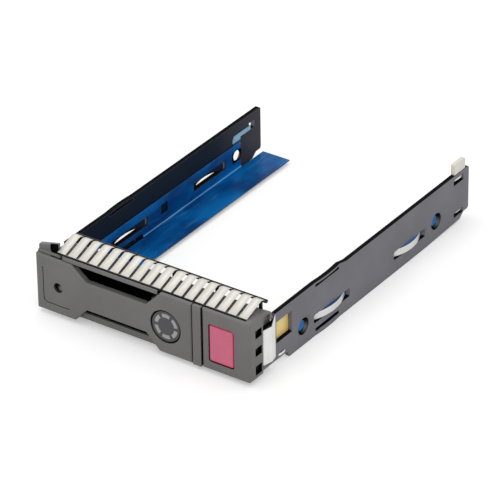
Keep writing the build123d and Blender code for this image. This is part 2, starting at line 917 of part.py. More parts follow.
def make_coil(plane, length, radius, turns):
    """Wire spring of a given length over all, wound along a plane's normal from the plane."""
    pitch = (length - 2 * coil_wire) / turns
    start = plane.origin + plane.z_dir * coil_wire
    with BuildPart() as coil:
        with BuildLine():
            turn = Helix(pitch, turns * pitch, radius, center=start, direction=plane.z_dir)
        with BuildSketch(Plane(origin=turn @ 0, z_dir=turn % 0)):
            RegularPolygon(coil_wire, 4)
        sweep(is_frenet=True)
    return coil.part


def make_hinge_pin():
    """Plain steel pin through the hinge lugs."""
    low = housing_lugs[0][0] - pin_foot
    high = housing_lugs[1][1]
    with BuildPart() as pin:
        with BuildSketch(Plane.XY.offset(low)):
            with Locations((pivot_x, y_at(pivot_depth))):
                Circle(pin_radius)
        extrude(amount=high - low)
    return pin.part


def make_top_strip():
    """Spring-finger strip on the bezel's top: a bent sheet with slots between the fingers."""
    half = spring_sheet / 2
    bridge_front, bridge_back = finger_bridge
    with BuildPart() as strip:
        with BuildSketch(side_plane(strip_left)):
            with BuildLine():
                FilletPolyline(
                    (y_at(strip_front), bezel_top + half),
                    (y_at(strip_front + strip_foot), bezel_top + half),
                    (y_at(strip_crest_depth), strip_crest),
                    (y_at(strip_back), strip_back_height),
                    radius=[strip_foot_bend, strip_crest_bend],
                )
            trace(line_width=spring_sheet)
        extrude(amount=strip_right - strip_left)
        for index in range(1, finger_count):
            right = strip_left + index * (finger_width + finger_gap)
            for slot in ((strip_front + finger_root, bridge_front), (bridge_back, strip_back - strip_hem)):
                block((right - finger_gap, right), slot, (bezel_top - 1, strip_crest + 1), mode=Mode.SUBTRACT)
    return strip.part


def make_side_spring():
    """Bent strip that grounds the bezel's right side, hooked round the rail's front edge."""
    half = spring_sheet / 2
    with BuildPart() as spring:
        with BuildSketch(Plane.XY.offset(side_spring_low)):
            with BuildLine():
                FilletPolyline(
                    (rail_face + side_spring_hook, y_at(rail_front - half)),
                    (rail_outer + half, y_at(rail_front - half)),
                    (rail_outer + side_spring_bulge, y_at(side_spring_ridge_depth)),
                    (rail_outer + side_spring_hook, y_at(side_spring_end)),
                    radius=side_spring_bend,
                )
            trace(line_width=spring_sheet)
        extrude(amount=side_spring_peak - side_spring_low)
        with BuildSketch(side_plane(rail_face)):
            with BuildLine():
                Polyline(
                    (y_at(cap_depth), side_spring_high),
                    (y_at(side_spring_ridge_depth), side_spring_high),
                    (y_at(side_spring_end), side_spring_peak),
                    (y_at(cap_depth), side_spring_peak),
                    close=True,
                )
            make_face()
        extrude(amount=rail_thickness + 2 * side_spring_bulge, mode=Mode.SUBTRACT)
    return spring.part


def make_flex():
    """Flexible circuit from the board, round the housing and along the right rail to its rear end."""
    centre = rail_face - flex_thickness / 2
    inner = rail_face - flex_thickness
    with BuildPart() as flex:
        with BuildSketch(Plane.XY.offset(flex_low)):
            with BuildLine():
                FilletPolyline(
                    (flex_start, y_at(connector_back - flex_grip)),
                    (flex_start, y_at(flex_turn)),
                    (centre, y_at(flex_turn)),
                    (centre, y_at(flex_straight)),
                    radius=flex_bend,
                )
            trace(line_width=flex_thickness)
        extrude(amount=flex_high - flex_low)
        with BuildSketch(side_plane(inner)):
            low, high = window_heights
            corners(y_at(flex_straight), y_at(flex_end), flex_low, flex_high)
            end = y_at(window_depths[1] + flex_window_back)
            corners(y_at(flex_straight), end, low - flex_window_margin, high + flex_window_margin)
            top = rail_height + block_height - flex_block_margin
            corners(y_at(flex_end - block_length), y_at(flex_end), flex_low, top)
        extrude(amount=flex_thickness)
    return flex.part


def make_contact_block():
    """Pale carrier of the rear contacts, standing on the right rail's top edge."""
    with BuildPart() as carrier:
        block(
            (rail_face, rail_outer - block_inset),
            (flex_end - block_length, flex_end),
            (rail_height, rail_height + block_height),
        )
        fillet(carrier.edges().filter_by(Axis.X).group_by(Axis.Z)[-1], radius=block_corner)
    return carrier.part


def make_contacts():
    """Gold contact pads on the flexible circuit's rear end."""
    with BuildPart() as contacts:
        inner = rail_face - flex_thickness
        with BuildSketch(side_plane(inner)):
            middle = flex_end - block_length / 2
            with Locations((y_at(middle), rail_height + contact_rise)):
                with GridLocations(contact_pitch, 0, contact_count, 1):
                    Rectangle(contact_width, contact_length)
        extrude(amount=-contact_thickness)
    return contacts.part


seat_plane = front_point(button_x, seat_front, button_z)
lever_spring_plane = Plane(origin=(pivot_x, y_at(pivot_depth), lever_lugs[0][1] + slip))
lever_spring_length = lever_lugs[1][0] - lever_lugs[0][1] - 2 * slip
lever_spring_radius = pin_radius + pin_coil_gap

pieces = {
    "bezel_housing": make_housing(),
    "end_cap": make_end_cap(),
    "ejector_lever": make_lever(),
    "release_button": make_button(),
    "ring_disc": make_ring_disc(),
    "light_guide": make_light_guide(),
    "led_board": make_board(),
    "board_leds": make_leds(),
    "board_screws": make_board_screws(),
    "hinge_pin": make_hinge_pin(),
    "right_rail": make_rail(1, overall_length, right_tail_slots, True),
    "left_rail": make_rail(-1, left_rail_end, left_tail_slots, False),
    "right_liner": make_liner(1, False),
    "left_liner": make_liner(-1, True),
    "right_film": make_film(1),
    "left_film": make_film(-1),
    "rail_screws_right": make_rail_screws(1),
    "rail_screws_left": make_rail_screws(-1),
    "emi_top_strip": make_top_strip(),
    "emi_side_spring": make_side_spring(),
    "flex_cable": make_flex(),
    "rear_contact_block": make_contact_block(),
    "rear_contacts": make_contacts(),
    "button_spring": make_coil(seat_plane, seat_front - button_face, coil_radius, button_coil_turns),
    "lever_spring": make_coil(lever_spring_plane, lever_spring_length, lever_spring_radius, lever_coil_turns),
}

with BuildPart() as chip:
    with BuildSketch(front_plane(board_back)):
        with Locations((board_left + chip_inset + chip_size / 2, button_z)):
            Rectangle(chip_size, chip_size)
    extrude(amount=-chip_height)
pieces["controller_chip"] = chip.part

with BuildPart() as connector:
    across = (flex_slot_left - connector_sides[0], flex_slot_right + connector_sides[1])
    upright = (flex_low - connector_ends, flex_high + connector_ends)
    block(across, (board_back, connector_back), upright)
    block(
        (flex_start - flex_thickness, flex_start + flex_thickness),
        (connector_back - connector_mouth, connector_back),
        (flex_low - connector_margin, flex_high + connector_margin),
        mode=Mode.SUBTRACT,
    )
pieces["flex_connector"] = connector.part

os.makedirs("parts", exist_ok=True)
for name, piece in pieces.items():
    piece.label = name
    export_step(piece, f"parts/{name}.step")
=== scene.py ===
"""Looks of the hot swap drive caddy: finishes, springs, screws, studio and camera."""
import json
import logging
import math
from dataclasses import dataclass
from enum import Enum
from typing import Any, Optional, Sequence, Union

import bmesh
import bpy
from mathutils import Matrix, Vector


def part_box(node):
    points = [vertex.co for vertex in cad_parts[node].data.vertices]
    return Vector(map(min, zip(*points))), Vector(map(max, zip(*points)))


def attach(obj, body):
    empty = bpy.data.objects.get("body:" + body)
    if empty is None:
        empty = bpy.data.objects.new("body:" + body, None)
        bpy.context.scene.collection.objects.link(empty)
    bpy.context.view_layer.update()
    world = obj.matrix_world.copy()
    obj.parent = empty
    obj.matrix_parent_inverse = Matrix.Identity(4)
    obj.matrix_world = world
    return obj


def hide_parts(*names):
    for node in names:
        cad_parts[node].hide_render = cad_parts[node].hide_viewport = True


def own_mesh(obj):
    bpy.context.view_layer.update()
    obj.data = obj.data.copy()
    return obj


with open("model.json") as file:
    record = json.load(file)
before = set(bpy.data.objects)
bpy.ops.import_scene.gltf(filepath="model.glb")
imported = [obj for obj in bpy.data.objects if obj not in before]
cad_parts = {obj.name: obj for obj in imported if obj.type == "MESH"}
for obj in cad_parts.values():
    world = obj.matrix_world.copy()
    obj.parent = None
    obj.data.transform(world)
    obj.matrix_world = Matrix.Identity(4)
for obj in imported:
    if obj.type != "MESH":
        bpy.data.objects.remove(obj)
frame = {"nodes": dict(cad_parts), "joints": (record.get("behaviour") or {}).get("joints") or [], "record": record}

log = logging.getLogger("drive_caddy")
MM = 0.001
Colour = tuple[float, float, float]
BLACK: Colour = (0.0, 0.0, 0.0)
# Near black of the matte shader that stands in for deep shade where shade is painted.
SHADE_BLACK: Colour = (0.003, 0.003, 0.003)
WHITE: Colour = (1.0, 1.0, 1.0)
# Depth of the faint lines on drawn wire and plated steel.
DRAWN_LINE = 0.002 * MM
# Turn of the softened normal where an edge starts to count, and where it counts fully.
EDGE_TURN = (0.01, 0.25)
# Smallest turns, in degrees, that stay sharp on CAD nodes and on the scene's own pieces.
NODE_CORNER = 28.0
PIECE_CORNER = 35.0


def srgb(red: int, green: int, blue: int) -> Colour:
    """Linear colour of an 8-bit screen colour.

    Args:
        red: Red from 0 to 255.
        green: Green from 0 to 255.
        blue: Blue from 0 to 255.

    Returns:
        The colour as linear light.
    """
    def linear(level: int) -> float:
        """Linear light of one 8-bit channel."""
        share = level / 255
        return share / 12.92 if share <= 0.04045 else ((share + 0.055) / 1.055) ** 2.4

    return linear(red), linear(green), linear(blue)


class Direction(Enum):
    """Ways that a sheet's rolling lines run."""

    ACROSS = (1.0, 0.02, 1.0)
    ALONG = (0.02, 1.0, 1.0)
    UPRIGHT = (1.0, 1.0, 0.02)


class Value:
    """A number that varies over a surface, with the usual operators."""

    def __init__(self, graph: "Graph", socket: bpy.types.NodeSocket) -> None:
        """Wrap a socket of a graph."""
        self.graph = graph
        self.socket = socket

    def _join(self, operation: str, first: Any, second: Any) -> "Value":
        """Math node on two numbers or values."""
        node = self.graph.node("ShaderNodeMath", {"operation": operation}, {0: first, 1: second})
        return Value(self.graph, node.outputs[0])

    def __add__(self, other: Union["Value", float]) -> "Value":
        """Sum."""
        return self._join("ADD", self, other)

    __radd__ = __add__

    def __mul__(self, other: Union["Value", float]) -> "Value":
        """Product."""
        return self._join("MULTIPLY", self, other)

    __rmul__ = __mul__

    def __sub__(self, other: Union["Value", float]) -> "Value":
        """Difference."""
        return self._join("SUBTRACT", self, other)

    def __rsub__(self, other: float) -> "Value":
        """Difference from a number."""
        return self._join("SUBTRACT", other, self)

    def between(self, low: float, high: float) -> "Value":
        """Smooth step from 0 at one level to 1 at another.

        Args:
            low: Level that gives 0.
            high: Level that gives 1.

        Returns:
            The stepped value.
        """
        node = self.graph.node(
            "ShaderNodeMapRange",
            {"interpolation_type": "SMOOTHSTEP"},
            {"Value": self, "From Min": low, "From Max": high},
        )
        return Value(self.graph, node.outputs["Result"])


class Graph:
    """Node tree of a material or of the sky."""

    def __init__(self, name: str, sky: bool = False) -> None:
        """Start an empty material, or an empty world for the sky."""
        self.owner = (bpy.data.worlds if sky else bpy.data.materials).new(name)
        self.owner.use_nodes = True
        self.output = "ShaderNodeOutputWorld" if sky else "ShaderNodeOutputMaterial"
        self.tree = self.owner.node_tree
        self.tree.nodes.clear()

    def node(
        self, kind: str, settings: Optional[dict] = None, inputs: Optional[dict] = None
    ) -> bpy.types.Node:
        """Add a node, set it and feed its sockets.

        Args:
            kind: The node's type.
            settings: Properties to set first.
            inputs: Values, colours or links by socket name or index.

        Returns:
            The new node.
        """
        node = self.tree.nodes.new(kind)
        for key, value in (settings or {}).items():
            setattr(node, key, value)
        for key, value in (inputs or {}).items():
            source = value.socket if isinstance(value, Value) else value
            if isinstance(source, bpy.types.NodeSocket):
                self.tree.links.new(source, node.inputs[key])
            elif isinstance(source, tuple) and len(source) == 3 and node.inputs[key].type == "RGBA":
                node.inputs[key].default_value = (*source, 1.0)
            else:
                node.inputs[key].default_value = source
        return node

    def place(self) -> bpy.types.NodeSocket:
        """Point on the surface in the part's own frame, in metres."""
        return self.node("ShaderNodeTexCoord").outputs["Object"]

    def vector(self, operation: str, *sources: Any) -> bpy.types.Node:
        """Vector Math node on one or two vectors."""
        return self.node("ShaderNodeVectorMath", {"operation": operation}, dict(enumerate(sources)))

    def stretched(self, factors: Sequence[float]) -> bpy.types.NodeSocket:
        """The surface point, scaled along each axis."""
        return self.vector("MULTIPLY", self.place(), tuple(factors)).outputs[0]

    def axis(self, letter: str) -> Value:
        """One coordinate of the surface point, in metres."""
        node = self.node("ShaderNodeSeparateXYZ", None, {0: self.place()})
        return Value(self, node.outputs[letter])

    def facing(self, letter: str) -> Value:
        """One coordinate of the surface's normal."""
        normal = self.node("ShaderNodeNewGeometry").outputs["Normal"]
        node = self.node("ShaderNodeSeparateXYZ", None, {0: normal})
        return Value(self, node.outputs[letter])

    def outward(self) -> Value:
        """Distance from the middle plane, in millimetres, times how far the face points away from it."""
        return self.facing("X") * self.axis("X") * (1 / MM)

    def noise(self, size: float, detail: float = 2.0, along: Sequence[float] = (1, 1, 1)) -> Value:
        """Cloudy noise from 0 to 1.

        Args:
            size: Width of one cloud, in metres.
            detail: How many finer octaves are added.
            along: Stretch along each axis.

        Returns:
            The noise.
        """
        inputs = {"Vector": self.stretched(along), "Scale": 1 / size, "Detail": detail}
        return Value(self, self.node("ShaderNodeTexNoise", None, inputs).outputs["Fac"])

    def blend(self, share: Union[Value, float], first: Any, second: Any) -> bpy.types.NodeSocket:
        """Mix of two colours.

        Args:
            share: How much of the second colour shows.
            first: Colour or socket at 0.
            second: Colour or socket at 1.

        Returns:
            The mixed colour's socket.
        """
        node = self.node("ShaderNodeMix", {"data_type": "RGBA"}, {"Factor": share})
        for key, colour in ((6, first), (7, second)):
            if isinstance(colour, bpy.types.NodeSocket):
                self.tree.links.new(colour, node.inputs[key])
            else:
                node.inputs[key].default_value = (*colour, 1.0)
        return node.outputs[2]

    def soft_edge(self, radius: float) -> bpy.types.NodeSocket:
        """Normal that rounds every edge by a small radius."""
        return self.node("ShaderNodeBevel", {"samples": 6}, {"Radius": radius}).outputs["Normal"]

    def inside(self, low: Sequence[float], high: Sequence[float], blur: float = 0.4 * MM) -> Value:
        """Mask that is 1 inside a box of the part and 0 outside it.

        Args:
            low: Lowest corner.
            high: Highest corner.
            blur: Width of the soft border, inside the box.

        Returns:
            The mask.
        """
        mask: Any = 1.0
        for letter, start, stop in zip("XYZ", low, high):
            place = self.axis(letter)
            mask = place.between(start, start + blur) * mask * (1 - place.between(stop - blur, stop))
        return mask

    def around(
        self, centre: Vector, radius: float, across: Sequence[float], blur: float = 0.15 * MM
    ) -> Value:
        """Mask that is 1 within a radius of an axis through a point and 0 outside it.

        Args:
            centre: Point on the axis.
            radius: Radius of the spot.
            across: 1 for the two axes that the spot lies in and 0 for its own.
            blur: Width of its soft border.

        Returns:
            The mask.
        """
        offset = self.vector("SUBTRACT", self.place(), centre).outputs[0]
        flat = self.vector("MULTIPLY", offset, tuple(across)).outputs[0]
        length = Value(self, self.vector("LENGTH", flat).outputs["Value"])
        return 1 - length.between(radius - blur, radius)

    def crevice(self, reach: float) -> Value:
        """Mask that is 1 deep in a groove or corner and 0 on open faces."""
        node = self.node("ShaderNodeAmbientOcclusion", {"samples": 8}, {"Distance": reach})
        return 1 - Value(self, node.outputs["AO"])

    def edges(self, radius: float) -> Value:
        """Mask that is 1 on the edges of the shape and 0 on its faces."""
        plain = self.node("ShaderNodeNewGeometry").outputs["Normal"]
        likeness = self.vector("DOT_PRODUCT", self.soft_edge(radius), plain).outputs["Value"]
        return (1 - Value(self, likeness)).between(*EDGE_TURN)

    def bump(self, height: Value, depth: float, edge: float = 0.0) -> bpy.types.NodeSocket:
        """Normal bent by a height.

        Args:
            height: Height from 0 to 1.
            depth: Depth of the relief, in metres.
            edge: Radius by which edges are rounded as well, in metres.

        Returns:
            The normal's socket.
        """
        inputs: dict = {"Height": height, "Distance": depth, "Strength": 1.0}
        if edge:
            inputs["Normal"] = self.soft_edge(edge)
        return self.node("ShaderNodeBump", None, inputs).outputs["Normal"]

    def close(self, surface: bpy.types.NodeSocket) -> Union[bpy.types.Material, bpy.types.World]:
        """Feed the tree's output and hand over the material or the world."""
        self.node(self.output, None, {"Surface": surface})
        return self.owner

    def finish(self, inputs: dict, shade: Optional[Value] = None) -> bpy.types.Material:
        """Close a material with a Principled shader.

        Args:
            inputs: Values or links of the shader's sockets.
            shade: How much of the surface lies in deep shade, without gloss.

        Returns:
            The finished material.
        """
        surface = self.node("ShaderNodeBsdfPrincipled", None, inputs).outputs["BSDF"]
        # Painted shade: a near-black matte shader is mixed in as far as the shade reaches.
        if shade is not None:
            painted_shade = self.node("ShaderNodeBsdfDiffuse", None, {"Color": SHADE_BLACK}).outputs["BSDF"]
            surface = self.node("ShaderNodeMixShader", None, {0: shade, 1: surface, 2: painted_shade}).outputs[0]
        return self.close(surface)


@dataclass(frozen=True)
class Hollow:
    """Box of the part whose surfaces lie in shade."""

    low: tuple[float, float, float]
    high: tuple[float, float, float]
    blur: float = 0.05 * MM


@dataclass(frozen=True)
class MouldedPlastic:
    """Moulded plastic with a fine grain, softened edges and faint cloudiness, edges lightened partly as wear and
    partly as painted highlight, and painted shade where set.
    """

    name: str
    colour: Colour
    wear_and_highlight_colour: Colour
    roughness: float = 0.45
    specular: float = 0.5
    grain: float = 0.35 * MM
    grain_depth: float = 0.012 * MM
    cloud: float = 18 * MM
    cloud_dark: float = 0.88
    edge: float = 0.25 * MM
    # Edges lightened in patches, partly as wear and partly as painted highlight.
    wear_and_highlight_reach: float = 0.5 * MM
    wear_and_highlight_patch: float = 4 * MM
    wear_and_highlight_share: float = 0.6
    # Painted shade on faces that point up, and how dark it is.
    shaded_top: bool = False
    top_shade: float = 0.85
    # Painted shade on faces that point inward, tinted as a painted reflection of the blue film, and greyer towards
    # the rear.
    inner_shade_colour: Optional[Colour] = None
    inner_reach: tuple[float, float] = (20, 40)
    tail_shade_colour: Colour = srgb(74, 72, 78)
    tail_shade_span: tuple[float, float] = (35 * MM, 75 * MM)
    rim: Optional[tuple[Vector, Vector, Colour]] = None
    rim_blur: float = 0.5 * MM
    # Painted shade in boxes, in countersinks with a painted lit side, and in creases.
    hollows: tuple[Hollow, ...] = ()
    hollow_shade: float = 0.97
    sinks: tuple[Vector, ...] = ()
    sink_radius: float = 3.9 * MM
    sink_plane: tuple[float, float, float] = (0.0, 1.0, 1.0)
    sink_shift: Vector = Vector((0, 0, 0))
    sink_shade: float = 0.95
    sink_light: float = 0.3
    crevice: float = 0.0
    crevice_span: tuple[float, float] = (0.35, 0.85)

    def material(self) -> bpy.types.Material:
        """Build the finish.

        Returns:
            The material.
        """
        graph = Graph(self.name)
        cloud = graph.noise(self.cloud, 3)
        grain = graph.noise(self.grain, 2)
        dark = tuple(self.cloud_dark * level for level in self.colour)
        colour = graph.blend(cloud.between(0.3, 0.7), dark, self.colour)
        # Painted shade on inward faces: blue-black as a painted reflection of the film, greyer towards the rear
        # where none is painted.
        if self.inner_shade_colour:
            bare = graph.axis("Y").between(*self.tail_shade_span) * (0.7 + 0.6 * (cloud - 0.5))
            inner = graph.blend(bare, self.inner_shade_colour, self.tail_shade_colour)
            colour = graph.blend((-1 * graph.outward()).between(*self.inner_reach), colour, inner)
        if self.rim:
            low, high, border = self.rim
            colour = graph.blend(1 - graph.inside(low, high, self.rim_blur), colour, border)
        # Lighter edges: partly wear, partly painted highlight where edges catch the light.
        wear_and_highlight = graph.edges(self.wear_and_highlight_reach) * (0.45 + 0.55 * graph.noise(self.wear_and_highlight_patch, 2))
        colour = graph.blend(wear_and_highlight * self.wear_and_highlight_share, colour, self.wear_and_highlight_colour)
        shade = self._shade(graph)
        inputs = {
            # Painted shade darkens the base colour towards black.
            "Base Color": graph.blend(shade, colour, BLACK),
            "Roughness": self.roughness + 0.12 * (cloud - 0.5) + 0.1 * (grain - 0.5),
            "Specular IOR Level": self.specular,
            "Normal": graph.bump(grain, self.grain_depth, self.edge),
        }
        return graph.finish(inputs, shade if self.hollows or self.sinks or self.shaded_top else None)

    def _shade(self, graph: Graph) -> Any:
        """How deep in shade each point lies.

        Args:
            graph: The material's nodes.

        Returns:
            The shade, from 0 to 1.
        """
        # Painted shade: darker in creases, on faces that point up, in countersinks with a painted lit side, and in
        # hollow boxes.
        light: Any = 1.0
        if self.crevice:
            light = 1 - graph.crevice(self.crevice).between(*self.crevice_span)
        if self.shaded_top:
            light = (1 - self.top_shade * graph.facing("Z").between(0.6, 0.95)) * light
        for sink in self.sinks:
            spot = graph.around(sink, self.sink_radius, self.sink_plane)
            lit = graph.around(sink + self.sink_shift, self.sink_radius, self.sink_plane, self.sink_radius)
            light = (1 - spot * (self.sink_shade - self.sink_light * lit)) * light
        for hollow in self.hollows:
            light = (1 - graph.inside(hollow.low, hollow.high, hollow.blur) * self.hollow_shade) * light
        return 1 - light


@dataclass(frozen=True)
class RolledSheet:
    """Bright spring sheet with rolling lines and faint scuffs."""

    name: str
    colour: Colour
    roughness: float = 0.3
    direction: Direction = Direction.ACROSS
    line: float = 0.25 * MM
    depth: float = 0.004 * MM
    cloud: float = 9 * MM
    dull: float = 0.8
    edge: float = 0.06 * MM
    metallic: float = 1.0
    tab_height: Optional[float] = None
    tab_blur: float = 0.2 * MM
    tab_colour: Colour = srgb(132, 182, 212)
    # Painted shade: black in front of this line, where the sheet tucks into a groove.
    foot: Optional[float] = None
    foot_blur: float = 0.1 * MM
    # Painted shade on faces that point inward.
    inner_shade_colour: Optional[Colour] = None
    outer_reach: tuple[float, float] = (15, 40)

    def material(self) -> bpy.types.Material:
        """Build the finish.

        Returns:
            The material.
        """
        graph = Graph(self.name)
        lines = graph.noise(self.line, 3, self.direction.value)
        cloud = graph.noise(self.cloud, 3)
        dull = tuple(self.dull * level for level in self.colour)
        colour = graph.blend(cloud.between(0.35, 0.75) * 0.5 + lines * 0.25, self.colour, dull)
        metallic: Any = self.metallic
        # Painted shade on faces that point inward, which also lose their metal.
        if self.inner_shade_colour:
            inward = 1 - graph.outward().between(*self.outer_reach)
            colour = graph.blend(inward, colour, self.inner_shade_colour)
            metallic = self.metallic * (1 - inward)
        if self.tab_height:
            tab = graph.axis("Z").between(self.tab_height, self.tab_height + self.tab_blur)
            colour = graph.blend(tab, colour, self.tab_colour)
            metallic = metallic * (1 - 0.8 * tab)
        # Painted shade: black in front of the foot line.
        if self.foot:
            clear = graph.axis("Y").between(self.foot, self.foot + self.foot_blur)
            colour = graph.blend(clear, BLACK, colour)
        return graph.finish({
            "Base Color": colour,
            "Metallic": metallic,
            "Roughness": self.roughness + 0.14 * (cloud - 0.5) + 0.1 * (lines - 0.5),
            "Normal": graph.bump(lines, self.depth, self.edge),
        })


@dataclass(frozen=True)
class BlueFilm:
    """Glossy blue film over sheet steel, mottled, with a painted highlight as a paler line where it folds and on
    its cut edges.
    """

    name: str
    wall: float
    floor: float
    colour: Colour = srgb(0, 110, 184)
    deep: Colour = srgb(0, 38, 100)
    pale: Colour = srgb(150, 206, 234)
    cloud: float = 14 * MM
    streak: float = 2.2 * MM
    fold_sides: tuple[float, float] = (-0.8 * MM, -0.5 * MM)
    fold_rise: tuple[float, float] = (0.35 * MM, 0.6 * MM)
    cut_edge: float = 0.3 * MM
    relief: float = 0.05 * MM
    softened: float = 0.08 * MM

    def material(self) -> bpy.types.Material:
        """Build the finish.

        Returns:
            The material.
        """
        graph = Graph(self.name)
        cloud = graph.noise(self.cloud, 4, (1, 0.45, 1))
        streak = graph.noise(self.streak, 3, (1, 0.12, 1))
        colour = graph.blend(cloud.between(0.38, 0.66) * 0.75, self.colour, self.deep)
        colour = graph.blend(streak.between(0.55, 0.8) * 0.18, colour, self.pale)
        # Painted highlight: a paler line along the fold near the floor, and on the cut edges.
        beside = graph.node("ShaderNodeMath", {"operation": "ABSOLUTE"}, {0: graph.axis("X")})
        start, stop = (self.wall + reach for reach in self.fold_sides)
        bottom, top = (self.floor + rise for rise in self.fold_rise)
        outer = Value(graph, beside.outputs[0]).between(start, stop)
        low = 1 - graph.axis("Z").between(bottom, top)
        fold = outer * low * (0.5 + 0.5 * streak)
        colour = graph.blend(fold * 0.8, colour, self.pale)
        colour = graph.blend(graph.edges(self.cut_edge) * 0.12, colour, self.pale)
        return graph.finish({
            "Base Color": colour,
            "Metallic": 0.15 + 0.2 * cloud,
            "Roughness": 0.3 + 0.16 * streak,
            "Specular IOR Level": 0.12,
            "Normal": graph.bump(cloud + 0.3 * streak, self.relief, self.softened),
        })


@dataclass(frozen=True)
class AmberFlex:
    """Amber flexible circuit with copper tracks showing through."""

    name: str
    low: float
    pitch: float = 1.0 * MM
    cloud: float = 6 * MM
    relief: float = 0.4 * MM
    colour: Colour = srgb(255, 238, 160)
    track: Colour = srgb(246, 186, 62)

    def material(self) -> bpy.types.Material:
        """Build the finish.

        Returns:
            The material.
        """
        graph = Graph(self.name)
        height = (graph.axis("Z") - self.low) * (1 / self.pitch)
        node = graph.node("ShaderNodeMath", {"operation": "PINGPONG"}, {0: height, 1: 0.5})
        tracks = Value(graph, node.outputs[0]).between(0.2, 0.3)
        cloud = graph.noise(self.cloud, 3)
        colour = graph.blend(tracks * 0.4 + cloud.between(0.4, 0.7) * 0.3, self.colour, self.track)
        return graph.finish({
            "Base Color": colour,
            "Metallic": tracks * 0.1,
            "Roughness": 0.3 + 0.2 * cloud,
            "Coat Weight": 0.3,
            "Normal": graph.bump(0.1 * tracks + cloud, self.relief),
        })


@dataclass(frozen=True)
class CircuitBoard:
    """Green board with tracks."""

    name: str
    colour: Colour = srgb(18, 74, 44)
    track: Colour = srgb(44, 112, 66)
    cell: float = 2.6 * MM
    cloud: float = 5 * MM
    relief: float = 0.03 * MM

    def material(self) -> bpy.types.Material:
        """Build the finish.

        Returns:
            The material.
        """
        graph = Graph(self.name)
        inputs = {"Vector": graph.stretched((1, 0.05, 1)), "Scale": 1 / self.cell, "Randomness": 0.35}
        node = graph.node("ShaderNodeTexVoronoi", {"feature": "DISTANCE_TO_EDGE"}, inputs)
        tracks = 1 - Value(graph, node.outputs["Distance"]).between(0.03, 0.07)
        cloud = graph.noise(self.cloud, 2)
        return graph.finish({
            "Base Color": graph.blend(tracks, self.colour, self.track),
            "Roughness": 0.28 + 0.15 * cloud,
            "Coat Weight": 0.4,
            "Normal": graph.bump(tracks, self.relief),
        })


@dataclass(frozen=True)
class Lamp:
    """Unlit clear or smoky plastic that lets light through."""

    name: str
    colour: Colour
    transmission: float = 0.35
    roughness: float = 0.25
    cloud: float = 1.5 * MM
    dull: float = 0.8
    relief: float = 0.01 * MM

    def material(self) -> bpy.types.Material:
        """Build the finish.

        Returns:
            The material.
        """
        graph = Graph(self.name)
        cloud = graph.noise(self.cloud, 2)
        dark = tuple(self.dull * level for level in self.colour)
        return graph.finish({
            "Base Color": graph.blend(cloud, dark, self.colour),
            "Roughness": self.roughness + 0.1 * cloud,
            "Transmission Weight": self.transmission,
            "Normal": graph.bump(cloud, self.relief),
        })


def rounded(mesh: bpy.types.Mesh, corner: float) -> None:
    """Shade a mesh's curves smooth and keep turns over an angle, in degrees, sharp."""
    mesh.shade_smooth()
    mesh.set_sharp_from_angle(angle=math.radians(corner))


def dress(node: str, material: bpy.types.Material, curved: bool = True) -> None:
    """Give a CAD node its finish.

    Args:
        node: The node's name.
        material: Its material.
        curved: Whether its curves are shaded smooth.
    """
    mesh = frame["nodes"][node].data
    mesh.materials.clear()
    mesh.materials.append(material)
    if curved:
        rounded(mesh, NODE_CORNER)


def mesh_object(name: str, shape: bmesh.types.BMesh, material: bpy.types.Material) -> bpy.types.Object:
    """Turn a bmesh into an object of the scene.

    Args:
        name: The object's name.
        shape: The mesh, which is freed.
        material: Its finish.

    Returns:
        The new object.
    """
    mesh = bpy.data.meshes.new(name)
    bmesh.ops.recalc_face_normals(shape, faces=shape.faces)
    shape.to_mesh(mesh)
    shape.free()
    mesh.materials.append(material)
    rounded(mesh, PIECE_CORNER)
    piece = bpy.data.objects.new(name, mesh)
    bpy.context.scene.collection.objects.link(piece)
    return piece


def fasten(piece: bpy.types.Object, stands_for: str = "") -> None:
    """Fix a piece to the chassis.

    Args:
        piece: The piece.
        stands_for: CAD node that it replaces, if any.
    """
    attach(piece, "chassis")
    if stands_for:
        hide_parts(stands_for)


def lofted(
    shape: bmesh.types.BMesh, rings: Sequence[Sequence[bmesh.types.BMVert]], ends: bool = True
) -> None:
    """Join rings of vertices by faces.

    Args:
        shape: Mesh that takes the faces.
        rings: Rings in order, each with as many vertices.
        ends: Whether the first and the last ring are closed.
    """
    for first, second in zip(rings, rings[1:]):
        for index in range(len(first)):
            other = (index + 1) % len(first)
            shape.faces.new((first[index], first[other], second[other], second[index]))
    if ends:
        shape.faces.new(rings[0])
        shape.faces.new(reversed(rings[-1]))


def extruded(
    shape: bmesh.types.BMesh, outline: Sequence[tuple[float, float]], left: float, right: float
) -> None:
    """Add a solid of one upright section, drawn across the caddy.

    Args:
        shape: Mesh that takes the solid.
        outline: Corners of the section, as Y and Z.
        left: Lowest X.
        right: Highest X.
    """
    lofted(shape, [[shape.verts.new((x, y, z)) for y, z in outline] for x in (left, right)])


